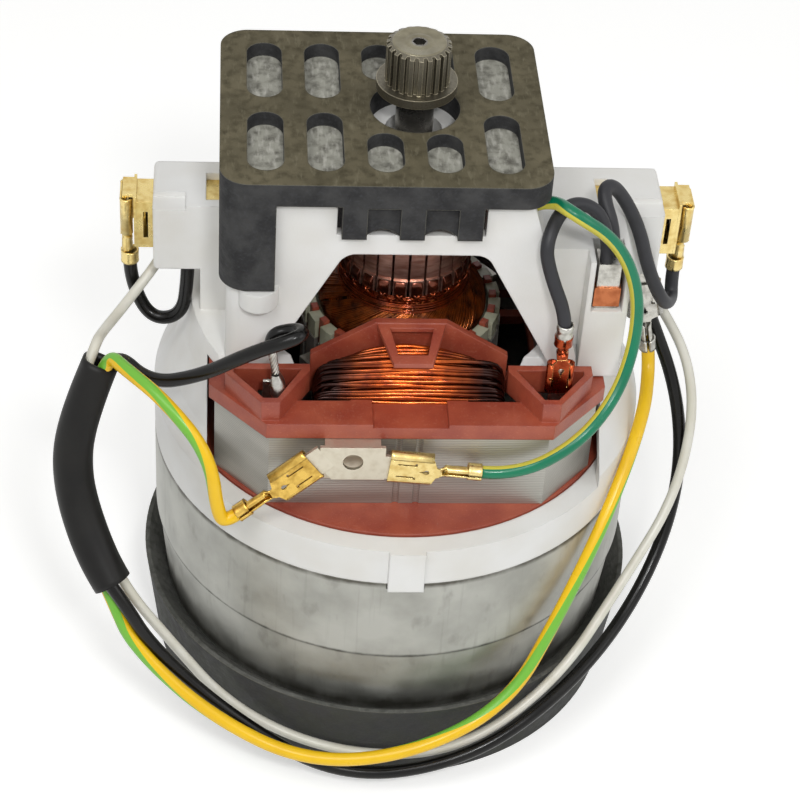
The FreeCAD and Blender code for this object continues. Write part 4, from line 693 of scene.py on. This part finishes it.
def pushOnTerminal(name, size, place, material):
    # one strip of sheet: a flat back with slots and a dimple hole, two rolled edges, a neck and two crimps
    sheet = size["sheet"]
    curl = (size["high"] - sheet) / 2
    flat = size["wide"] / 2 - curl
    mouth = size["long"]
    boxEnd = size["long"] - size["box"]
    grip = size["crimp"]
    bm = bmesh.new()

    def plate(loops):
        flatLoops = [[Vector((x, y, 0.0)) for x, y in loop] for loop in loops]
        every = [p for loop in flatLoops for p in loop]
        made = [bm.verts.new((p.x * mm, p.y * mm, 0.5 * sheet * mm)) for p in every]
        for a, b, c in tessellate_polygon(flatLoops):
            bm.faces.new((made[a], made[b], made[c]))

    def strip(stations):
        # stations: x and the open section as (y, z) points; the sheet follows it
        rows = []
        for x, section in stations:
            rows.append([bm.verts.new((x * mm, y * mm, z * mm)) for y, z in section])
        for first, second in zip(rows, rows[1:]):
            for i in range(len(first) - 1):
                face = bm.faces.new((first[i], first[i + 1], second[i + 1], second[i]))
                face.smooth = True

    shoulder = flat + 0.55
    waist = [(boxEnd - 0.1, shoulder), (boxEnd - 0.9, 1.35), (boxEnd - 1.6, 1.1)]
    outline = [(mouth, flat), (mouth, -flat), (boxEnd, -flat)] + [(x, -y) for x, y in waist]
    outline += waist[::-1] + [(boxEnd, flat)]
    # an L-shaped slot along each edge, and the hole of the dimple that grips the blade
    slot = {"start": 3.4, "step": 3.9, "end": 1.7, "inner": 1.5, "middle": 1.85, "outer": 2.3}
    slotStart = boxEnd + slot["start"]
    slotStep = boxEnd + slot["step"]
    slotEnd = mouth - slot["end"]
    holes = []
    for side in (1, -1):
        inner = side * slot["inner"]
        middle = side * slot["middle"]
        outer = side * slot["outer"]
        holes.append([(slotStart, inner), (slotEnd, inner), (slotEnd, middle),
                      (slotStep, middle), (slotStep, outer), (slotStart, outer)])
    dimple = {"middle": 1.3, "radius": 0.62, "tip": 2.9}
    dimpleRing = []
    for k in range(14):
        a = math.radians(30 + 300 * k / 13)
        x = boxEnd + dimple["middle"] + dimple["radius"] * math.cos(a)
        dimpleRing.append((x, dimple["radius"] * math.sin(a)))
    holes.append(dimpleRing + [(boxEnd + dimple["tip"], 0.0)])
    plate([outline] + holes)

    for side in (1, -1):
        section = []
        for k in range(11):
            a = math.radians(-90 + 235 * k / 10)
            section.append((side * (flat + curl * math.cos(a)), sheet / 2 + curl + curl * math.sin(a)))
        flare = [(y * 1.03, z - 0.08) for y, z in section]
        strip([(boxEnd, section), (mouth - 0.7, section), (mouth, flare)])

    # neck: the flat back turns into a channel whose seam looks out of the back
    neck = {"flat": 1.1, "middle": 1.25, "tube": (1.12, 1.05), "trough": (1.15, 1.0)}
    flatNeck = [(neck["flat"] * (1 - k / 4), sheet / 2) for k in range(9)]
    tube = []
    trough = []
    for k in range(9):
        a = math.radians(-70 + 320 * k / 8)
        tube.append((neck["tube"][0] * math.cos(a), neck["middle"] + neck["tube"][1] * math.sin(a)))
        a = math.radians(-25 + 230 * k / 8)
        trough.append((neck["trough"][0] * math.cos(a), neck["middle"] + neck["trough"][1] * math.sin(a)))
    lip = [(y * 0.94, 1.2 + (z - 1.2) * 0.92) for y, z in tube]
    half = [((a[0] + b[0]) / 2, (a[1] + b[1]) / 2) for a, b in zip(flatNeck, trough)]
    strip([(boxEnd - 1.5, flatNeck), (boxEnd - 2.2, half), (boxEnd - 2.9, trough), (boxEnd - 3.3, tube),
           (boxEnd - 4.2, lip), (grip + 0.4, tube), (grip * 0.72, tube), (grip * 0.5, tube)])

    # insulation crimp: a taller barrel round the jacket
    r = size["jacket"] + 0.25
    barrelMiddle = 1.75
    barrel = []
    for k in range(17):
        a = math.radians(-82 + 344 * k / 16)
        barrel.append((r * math.cos(a), barrelMiddle + r * math.sin(a)))
    mouthEdge = [(y * 1.03, barrelMiddle + (z - barrelMiddle) * 1.03) for y, z in barrel]
    strip([(-0.2, mouthEdge), (0.3, barrel), (grip * 0.55, barrel), (grip * 0.62, mouthEdge)])
    mesh = bpy.data.meshes.new(name)
    bm.to_mesh(mesh)
    bm.free()
    mesh.materials.append(material)
    mesh.transform(place)
    piece = bpy.data.objects.new(name, mesh)
    bpy.context.scene.collection.objects.link(piece)
    wall = piece.modifiers.new("sheet thickness", "SOLIDIFY")
    wall.thickness = sheet * mm
    wall.offset = 0.0
    return piece


plainTerminal = {"long": 19.6, "box": 9.2, "wide": 7.8, "high": 2.7, "sheet": 0.4, "crimp": 4.4,
                 "jacket": 1.5}
shortTerminal = dict(plainTerminal, long=18.6)
fieldTerminal = dict(plainTerminal, long=14.2, box=7.4, wide=5.5, high=2.5, crimp=3.4)
terminals = {
    "earth_receptacle_left": (plainTerminal, (-35.76, -49.46, 76.63), (0.7945, 0.1986, 0.5738),
                              (-0.161, 0.9801, -0.1163), "darkBrass", "brass"),
    "bond_receptacle": (dict(plainTerminal, jacket=1.4), (15.19, -45.38, 84.87), (-0.9958, 0.0199, 0.0896),
                        (0.0198, 0.9998, -0.0018), "brass", "brass"),
    "earth_receptacle_right": (plainTerminal, (56.07, -5.14, 86.33), (-0.1882, -0.0164, 0.982),
                               (-0.0031, 0.9999, 0.0161), "tin", "tinned_steel"),
    "brush_receptacle_right": (shortTerminal, (61.55, 0, 107.0), (0, 0, 1), (-1, 0, 0), "brass", "brass"),
    "brush_receptacle_left": (shortTerminal, (-61.55, 0, 107.0), (0, 0, 1), (1, 0, 0), "brass", "brass"),
    "field_receptacle": (fieldTerminal, (31.4, -34.35, 113.4), (0, 0, -1), (0, 1, 0),
                         "brassWithRedReflection", "tinned_steel"),
}
for nodeName, (size, origin, along, up, finishName, slotName) in terminals.items():
    piece = pushOnTerminal(nodeName + "_strip", size, terminalPlace(origin, along, up), finish[finishName])
    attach(piece, "stator")
    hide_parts(nodeName)

for nodeName, wire in wires.items():
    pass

# A tinned ferrule closes the field wire above its receptacle
ferrule = {"at": (31.4, -32.6), "low": 112.9, "high": 116.7, "radius": 1.78, "waist": 0.05, "wall": 0.22}


def ferruleRadius(t, a):
    return ferrule["radius"] * (1 - ferrule["waist"] * math.cos(4 * math.pi * t))


ferruleLong = ferrule["high"] - ferrule["low"]
ferruleLine = [Vector((*ferrule["at"], ferrule["low"] + ferruleLong * k / 8)) for k in range(9)]
corners, faces = tubeAlong(ferruleLine, ferruleRadius, 28, ferrule["wall"])
ferrulePiece = addMesh("field_wire_ferrule", corners, faces, finish["tin"])
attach(ferrulePiece, "stator")

print("rubber webs and pinion face")
# Thin webs close the comb between its teeth, each with an arched lower edge
web = {"left": -15.7, "right": 13.0, "tooth": 5.1, "front": -26.9, "back": -26.0, "low": 134.5,
       "arch": 1.9, "top": 143.0, "bury": 0.2, "steps": 16}
corners = []
faces = []
gapWide = (web["right"] - web["left"] - 3 * web["tooth"]) / 2
for i in range(2):
    startX = web["left"] + web["tooth"] + i * (web["tooth"] + gapWide)
    start = len(corners)
    for y in (web["front"], web["back"]):
        for k in range(web["steps"] + 1):
            u = k / web["steps"]
            x = startX - web["bury"] + (gapWide + 2 * web["bury"]) * u
            corners.append((x, y, web["low"] + web["arch"] * math.sin(math.pi * u) ** 0.8))
            corners.append((x, y, web["top"]))
    row = 2 * (web["steps"] + 1)
    for k in range(web["steps"]):
        a = start + 2 * k
        faces += [[a, a + 2, a + 3, a + 1], [a + row, a + row + 1, a + row + 3, a + row + 2],
                  [a, a + row, a + row + 2, a + 2]]
webPiece = addMesh("comb_webs", corners, faces, finish["rubberTop"], False)
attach(webPiece, "stator")

# The pinion's end is faced off on the lathe: a ring, a shallow groove and the shaft's bright centre
turnedFace = {"top": 164.0, "around": 64,
              "profile": [(5.6, -0.02), (5.5, 0.10), (5.2, 0.16), (5.0, 0.07), (3.2, 0.06), (3.0, 0.01),
                          (2.8, 0.10), (2.2, 0.14), (1.75, 0.10), (1.6, -0.05)]}
corners = turnedCorners([(r, turnedFace["top"] + z) for r, z in turnedFace["profile"]], turnedFace["around"])
faces = ringFaces(0, len(turnedFace["profile"]), turnedFace["around"])
facePiece = addMesh("pinion_turned_face", corners, faces, finish["faced"])
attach(facePiece, "rotor")

print("field coils")
fieldCoil = {
    "rows": 11, "layers": 5, "wire": 0.50,
    "foot": 95.3, "crown": {1: 107.1, -1: 108.0}, "droop": 0.60,   # end turns above the core
    "lowFoot": 69.4, "lowCrown": 59.8,                              # and below it
    "front": 33.2, "layerPitch": 1.1, "legPitch": 0.38, "reach": 20.1, "legStep": 1.25, "legLong": 2.5,
    # how far a turn strays from its place: up, in depth in the middle and at the sides, its tilt and its peak
    "stray": 0.34, "middleStray": 0.08, "depthStray": 0.06, "tilt": 0.5, "peakStray": 4,
    "archPower": 2.4, "forwardShare": 1.15, "proud": 0.4,
}


def coilTurns(side):
    # each turn lies flat and wide: bowed up and forward in the middle, falling to its leg at both ends
    turns = []
    c = fieldCoil
    for layer in range(c["layers"]):
        for row in range(c["rows"]):
            up = row / (c["rows"] - 1)
            midY = -c["front"] + layer * c["layerPitch"] + dice.uniform(-1, 1) * c["middleStray"]
            legY = -c["front"] + 0.1 + c["legPitch"] * row
            legX = c["reach"] - c["legStep"] * layer
            tilt = dice.uniform(-1, 1) * c["tilt"]
            peak = dice.uniform(-c["peakStray"], c["peakStray"])
            points = []
            for foot, crown in ((c["foot"], c["crown"][side]), (c["lowFoot"], c["lowCrown"])):
                rise = (crown - foot) * up
                outward = 1 if crown > foot else -1
                legEnd = foot - c["legLong"] * outward
                part = [(-legX - 0.15, legY, legEnd)]
                for k in range(-4, 5):
                    x = legX * k / 4
                    arch = max(0.0, 1 - abs((x - peak * (1 - abs(k / 4))) / legX) ** c["archPower"])
                    z = foot + rise * (c["droop"] + (1 - c["droop"]) * arch) + tilt * k / 4
                    z += dice.uniform(-1, 1) * c["stray"]
                    y = legY + (midY - legY) * min(1.0, arch * c["forwardShare"])
                    y += dice.uniform(-1, 1) * c["depthStray"]
                    part.append((x, y, z))
                part.append((legX + 0.15, legY, legEnd))
                points += part if outward > 0 else part[::-1]
            turns.append([(x, max(y, -c["front"] - c["proud"]) * side, z) for x, y, z in points])
    return turns


for nodeName, side in (("field_coil_front", 1), ("field_coil_rear", -1)):
    piece = addCurve(nodeName + "_turns", coilTurns(side), fieldCoil["wire"], finish["copperWire"],
                     closed=True, order=4, smooth=3, rounds=2)
    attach(piece, "stator")
    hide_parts(nodeName)

print("armature winding")
armature = {
    "slots": 24, "shaft": 4.6, "wire": 0.27, "strands": 9, "under": 5, "underDepth": 0.42, "sweep": 58,
    "phase": 7.5, "sink": 0.3, "lumpSink": 0.75, "lobe": 0.012, "lobeFrom": 12,
    "footSweep": 1.25, "sweepPower": 1.35, "ribbonWide": 0.98, "taper": 0.25,
    # the least and the most that chance gives a ribbon's sweep, a strand's lift and its spread
    "sweepChance": (0.92, 1.08), "lift": (-0.16, 0.12), "spread": (0.9, 1.25),
    "turnStray": 0.35, "depthStray": 0.06,
    # radius and height of the end turns, from the core up to the neck, and from the core down
    "dome": [(17.6, 94.8), (18.7, 96.6), (18.9, 98.6), (18.0, 100.6), (16.4, 102.4), (14.7, 104.0),
             (13.6, 105.2), (13.2, 106.2)],
    "foot": [(17.6, 69.6), (18.7, 67.8), (18.8, 65.4), (17.6, 63.2), (15.6, 61.7), (13.6, 60.8),
             (11.6, 60.5)],
    "neckRings": 13, "neckRadius": 13.4, "neckFlare": 1.5, "neckLow": 104.2, "neckHigh": 3.3,
    "neckTilt": (0.1, 0.5), "neckStray": 0.08, "neckPoints": 16,
}


def windingLobe(r, a):
    # a shallow lobe to each slot, on the wide part of the lump only
    return 1 + (armature["lobe"] * math.cos(armature["slots"] * a) if r > armature["lobeFrom"] else 0)


def windingBody():
    # the varnished lump under the strands: a turned dome above and below the core; its near-black colour is
    # painted shade in the gaps between the strands
    corners = []
    faces = []
    around = 96
    for profile in (armature["dome"], armature["foot"][::-1]):
        outline = [(r - armature["lumpSink"], z) for r, z in profile]
        outline = [(armature["shaft"], outline[0][1])] + outline + [(armature["shaft"], outline[-1][1])]
        faces += ringFaces(len(corners), len(outline), around, closed=True)
        corners += turnedCorners(outline, around, windingLobe)
    return corners, faces


def windingStrands():
    # each slot sends a flat ribbon of wires over the dome, all leaning one way, over others that lean back
    strands = []
    step = 360 / armature["slots"]
    for profile, reach in ((armature["dome"], 1.0), (armature["foot"], armature["footSweep"])):
        steps = len(profile) - 1
        for i in range(armature["slots"]):
            for lean, count, lower in ((1, armature["strands"], 0.0),
                                       (-1, armature["under"], armature["underDepth"])):
                if profile is armature["foot"] and lean < 0:
                    continue
                swing = armature["sweep"] * reach * lean * dice.uniform(*armature["sweepChance"])
                for w in range(count):
                    across = (w + 0.5) / count - 0.5
                    lift = dice.uniform(*armature["lift"])
                    spread = dice.uniform(*armature["spread"])
                    wide = step * armature["ribbonWide"]
                    points = []
                    for k, (r, z) in enumerate(profile):
                        t = k / steps
                        turned = armature["phase"] + i * step
                        turned += across * wide * (1 - armature["taper"] * t) * spread
                        turned += swing * t ** armature["sweepPower"]
                        turned += dice.uniform(-armature["turnStray"], armature["turnStray"])
                        a = math.radians(turned)
                        out = r - lower - armature["sink"] + lift * math.sin(math.pi * t)
                        out += dice.uniform(-armature["depthStray"], armature["depthStray"])
                        points.append((out * math.cos(a), out * math.sin(a), z))
                    strands.append(points)
    return strands


def neckStrands():
    # fine wires laid nearly level round the neck under the hooks
    rings = []
    for i in range(armature["neckRings"]):
        t = i / (armature["neckRings"] - 1)
        tilt = dice.uniform(*armature["neckTilt"])
        phase = dice.uniform(0, 2 * math.pi)
        points = []
        for k in range(armature["neckPoints"]):
            a = 2 * math.pi * k / armature["neckPoints"]
            r = armature["neckRadius"] + armature["neckFlare"] * (1 - t) ** 2
            r += dice.uniform(-armature["neckStray"], armature["neckStray"])
            z = armature["neckLow"] + armature["neckHigh"] * t + tilt * math.cos(a - phase)
            points.append((r * math.cos(a), r * math.sin(a), z))
        rings.append(points)
    return rings


corners, faces = windingBody()
windingPiece = addMesh("armature_winding_body", corners, faces, finish["windingShadeCore"])
strandPiece = addCurve("armature_winding_strands", windingStrands(), armature["wire"], finish["armatureWire"],
                       order=4, smooth=3, rounds=1)
bandPiece = addCurve("armature_winding_neck", neckStrands(), armature["wire"] * 0.8, finish["neckWire"],
                     closed=True, order=4, smooth=4, rounds=1)
for piece in (windingPiece, strandPiece, bandPiece):
    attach(piece, "rotor")
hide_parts("armature_winding")

# A hook curls out of the foot of each commutator bar and grips the winding's ends
hook = {
    "count": 24, "turn": 7.5, "half": 1.2, "wire": 0.3, "middle": (13.7, 110.5),
    "rounding": [(0.0, 0.28), (0.12, 0.08), (0.4, 0.0)],   # in from each side, and off the outline there
    "profile": [(13.5, 112.4), (13.95, 112.1), (14.35, 111.4), (14.5, 110.4), (14.45, 109.4), (14.2, 108.5),
                (13.75, 107.9), (13.2, 107.8), (13.2, 108.4), (13.6, 108.7), (13.85, 109.4), (13.85, 110.4),
                (13.6, 111.4), (13.3, 111.8)],
    # radius, turn in degrees away from the bar, and height of the wire ends
    "wireEnd": [(13.2, 5.6, 106.2), (13.7, 4.4, 107.0), (14.25, 2.2, 107.7), (14.5, 0.2, 108.3),
                (14.4, -1.6, 108.8), (14.0, -2.6, 109.0)],
}
stations = [(-hook["half"] + inset, shrink) for inset, shrink in hook["rounding"]]
stations += [(hook["half"] - inset, shrink) for inset, shrink in hook["rounding"][::-1]]
bm = bmesh.new()
for i in range(hook["count"]):
    turnBar = Matrix.Rotation(2 * math.pi * i / hook["count"] + math.radians(hook["turn"]), 4, "Z")
    rings = []
    for y, shrink in stations:
        ring = []
        for r, z in hook["profile"]:
            away = Vector((r - hook["middle"][0], 0, z - hook["middle"][1]))
            ring.append(bm.verts.new(turnBar @ (Vector((r, y, z)) * mm - away.normalized() * (shrink * mm))))
        rings.append(ring)
    count = len(hook["profile"])
    for first, second in zip(rings, rings[1:]):
        for k in range(count):
            j = (k + 1) % count
            bm.faces.new((first[k], first[j], second[j], second[k]))
    bm.faces.new(rings[0][::-1])
    bm.faces.new(rings[-1])
mesh = bpy.data.meshes.new("commutator_hooks")
bmesh.ops.recalc_face_normals(bm, faces=bm.faces)
bm.to_mesh(mesh)
bm.free()
mesh.materials.append(finish["hookCopper"])
mesh.shade_smooth()
hookPiece = bpy.data.objects.new("commutator_hooks", mesh)
bpy.context.scene.collection.objects.link(hookPiece)
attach(hookPiece, "rotor")

# Wire ends looped through each hook
loops = []
for i in range(hook["count"]):
    base = 360 * i / hook["count"] + hook["turn"]
    for side in (-1, 1):
        points = []
        for r, turned, z in hook["wireEnd"]:
            a = math.radians(base + side * turned)
            points.append((r * math.cos(a), r * math.sin(a), z))
        loops.append(points)
loopPiece = addCurve("commutator_wire_ends", loops, hook["wire"], finish["neckWire"], smooth=3, rounds=2)
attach(loopPiece, "rotor")

print("brush springs")
# The far end stands on the cap and the near end on the brush, which has 6 mm of travel; the coil is drawn at
# one fixed length
spring = {"radius": 2.7, "wire": 0.28, "turns": 9, "from": 43.5, "to": 58.0, "height": 119.5,
          "travel": 6.0, "perTurn": 16, "around": 10}
springLong = spring["to"] - spring["from"]
for nodeName, joint, side in (("brush_spring_right", "brush_slide_right", 1),
                              ("brush_spring_left", "brush_slide_left", -1)):
    line = []
    steps = spring["turns"] * spring["perTurn"]
    for k in range(steps + 1):
        a = 2 * math.pi * k / spring["perTurn"]
        x = spring["from"] + 2 * spring["wire"] + (springLong - 3 * spring["wire"]) * k / steps
        y = spring["radius"] * math.cos(a)
        z = spring["height"] + spring["radius"] * math.sin(a)
        line.append(Vector((side * x, y, z)))
    corners, faces = tubeAlong(line, lambda t, a: spring["wire"], spring["around"])
    piece = addMesh(nodeName + "_coil", corners, faces, finish["steel"])
    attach(piece, "stator")
    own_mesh(piece)
    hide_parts(nodeName)

print("left splice")
# Tinned strands twisted from the field terminal up to the black lead, crimped flat at the foot
splice = {"foot": (-27.8, -34.3, 98.9), "lean": (-0.13977, 0.0599, 0.98837), "long": 11.4, "strands": 7,
          "spread": 0.62, "wire": 0.36, "twist": 1.6, "start": 0.4, "crimpFrom": -3.6, "crimpLong": 8.6,
          "bladeX": (-31.1, -26.9), "bladeY": (-33.8, -33.0), "bladeZ": (93.9, 101.4), "bladeRound": 0.2}
runs = []
lean = Vector(splice["lean"])
side = lean.cross(Vector((0, 1, 0))).normalized()
over = lean.cross(side)
for s in range(splice["strands"]):
    points = []
    for k in range(15):
        t = k / 14
        a = 2 * math.pi * (s / splice["strands"] + splice["twist"] * t)
        r = splice["spread"] * (1.15 - 0.25 * math.sin(math.pi * t))
        along = Vector(splice["foot"]) + lean * (splice["long"] * t + splice["start"])
        points.append(along + side * (r * math.cos(a)) + over * (r * math.sin(a)))
    runs.append(points)
strandsPiece = addCurve("splice_strands", runs, splice["wire"], finish["tin"], smooth=4, rounds=3)


def crimpRadius(t, a):
    flat = 1 + 0.25 * math.cos(2 * a)
    dents = 1 + 0.06 * math.sin(5 * a + 9 * t)
    return (1.15 + 1.0 * math.sin(math.pi * min(1, t * 1.05)) ** 0.6) * flat * dents


foot = Vector(splice["foot"])
crimpLine = [foot + lean * (splice["crimpFrom"] + splice["crimpLong"] * k / 14) for k in range(15)]
corners, faces = tubeAlong(crimpLine, crimpRadius, 28)
crimpPiece = addMesh("splice_crimp", corners, faces, finish["tin"])
bladeCorners = [(x, y, z) for x in splice["bladeX"] for y in splice["bladeY"] for z in splice["bladeZ"]]
bladePiece = addMesh("field_terminal_left_blade", bladeCorners,
                     [(0, 1, 3, 2), (4, 6, 7, 5), (0, 4, 5, 1), (2, 3, 7, 6), (1, 5, 7, 3), (0, 2, 6, 4)],
                     finish["tin"], False)
soften = bladePiece.modifiers.new("rounded edge", "BEVEL")
soften.width = splice["bladeRound"] * mm
soften.segments = 2
for piece in (strandsPiece, crimpPiece, bladePiece):
    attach(piece, "stator")
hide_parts("field_terminal_left")

print("studio")
studio = {"floorHex": "#f2f2f0", "floorReach": 3000, "floorGlow": 0.4, "fadeFrom": 300, "fadeTo": 1300,
          "worldStrength": 0.38,
          # place, size and power of each lamp; all look at the middle of the motor
          "lamps": {"key soft box": ((-350, -500, 900), (420, 420), 3.0),
                    "flash": ((45, -470, 560), (90, 60), 1.35),
                    "fill soft box": ((700, -350, 500), (500, 500), 1.2)},
          "aim": (0, 0, 90)}


def backdropSeen(tree):
    # one for rays that show the backdrop itself, zero for the light it throws on the object
    path = addNode(tree, "ShaderNodeLightPath").outputs
    seen = path["Is Camera Ray"]
    for ray in ("Is Glossy Ray", "Is Transmission Ray"):
        seen = addNode(tree, "ShaderNodeMath", {"operation": "MAXIMUM"}, {0: seen, 1: path[ray]}).outputs[0]
    return seen


floorMaterial, tree, shader, place = startMaterial("pale paper sweep", studio["floorHex"], 0.9)
# away from the object the paper fades into the white of the backdrop
distance = addNode(tree, "ShaderNodeVectorMath", {"operation": "LENGTH"}, {0: place}).outputs["Value"]
fade = addNode(tree, "ShaderNodeMapRange", {}, {"Value": distance, "From Min": studio["fadeFrom"] * mm,
                                                "From Max": studio["fadeTo"] * mm}).outputs["Result"]
tree.links.new(blendColours(tree, fade, studio["floorHex"], "#000000", 0.0, 1.0), shader.inputs["Base Color"])
near = addNode(tree, "ShaderNodeMapRange", {}, {"Value": fade, "To Min": studio["floorGlow"], "To Max": 1.0})
glow = addNode(tree, "ShaderNodeMath", {"operation": "MULTIPLY"},
               {0: backdropSeen(tree), 1: near.outputs["Result"]}).outputs[0]
light = addNode(tree, "ShaderNodeEmission", {}, {"Color": (1, 1, 1, 1), "Strength": glow})
both = addNode(tree, "ShaderNodeAddShader", {}, {0: shader.outputs[0], 1: light.outputs[0]})
tree.links.new(both.outputs[0], tree.nodes["Material Output"].inputs["Surface"])
reach = studio["floorReach"]
floorCorners = [(-reach, -reach, 0), (reach, -reach, 0), (reach, reach, 0), (-reach, reach, 0)]
floorPiece = addMesh("paper_floor", floorCorners, [(0, 1, 2, 3)], floorMaterial, False)

world = bpy.data.worlds.new("studio")
bpy.context.scene.world = world
world.use_nodes = True
tree = world.node_tree
tree.nodes.clear()
strength = addNode(tree, "ShaderNodeMapRange", {}, {"Value": backdropSeen(tree),
                                                    "To Min": studio["worldStrength"], "To Max": 1.0})
sky = addNode(tree, "ShaderNodeBackground", {}, {"Color": (1, 1, 1, 1),
                                                 "Strength": strength.outputs["Result"]})
addNode(tree, "ShaderNodeOutputWorld", {}, {"Surface": sky.outputs[0]})

for name, (place, size, power) in studio["lamps"].items():
    data = bpy.data.lights.new(name, "AREA")
    data.shape = "RECTANGLE"
    data.size = size[0] * mm
    data.size_y = size[1] * mm
    data.energy = power
    lamp = bpy.data.objects.new(name, data)
    bpy.context.scene.collection.objects.link(lamp)
    ahead = (Vector(studio["aim"]) - Vector(place)).normalized()
    turn = ahead.to_track_quat("-Z", "Y").to_matrix().to_4x4()
    lamp.matrix_world = Matrix.Translation(Vector(place) * mm) @ turn

scene = bpy.context.scene
scene.view_settings.view_transform = "Standard"

print("done")
bpy.context.view_layer.update()
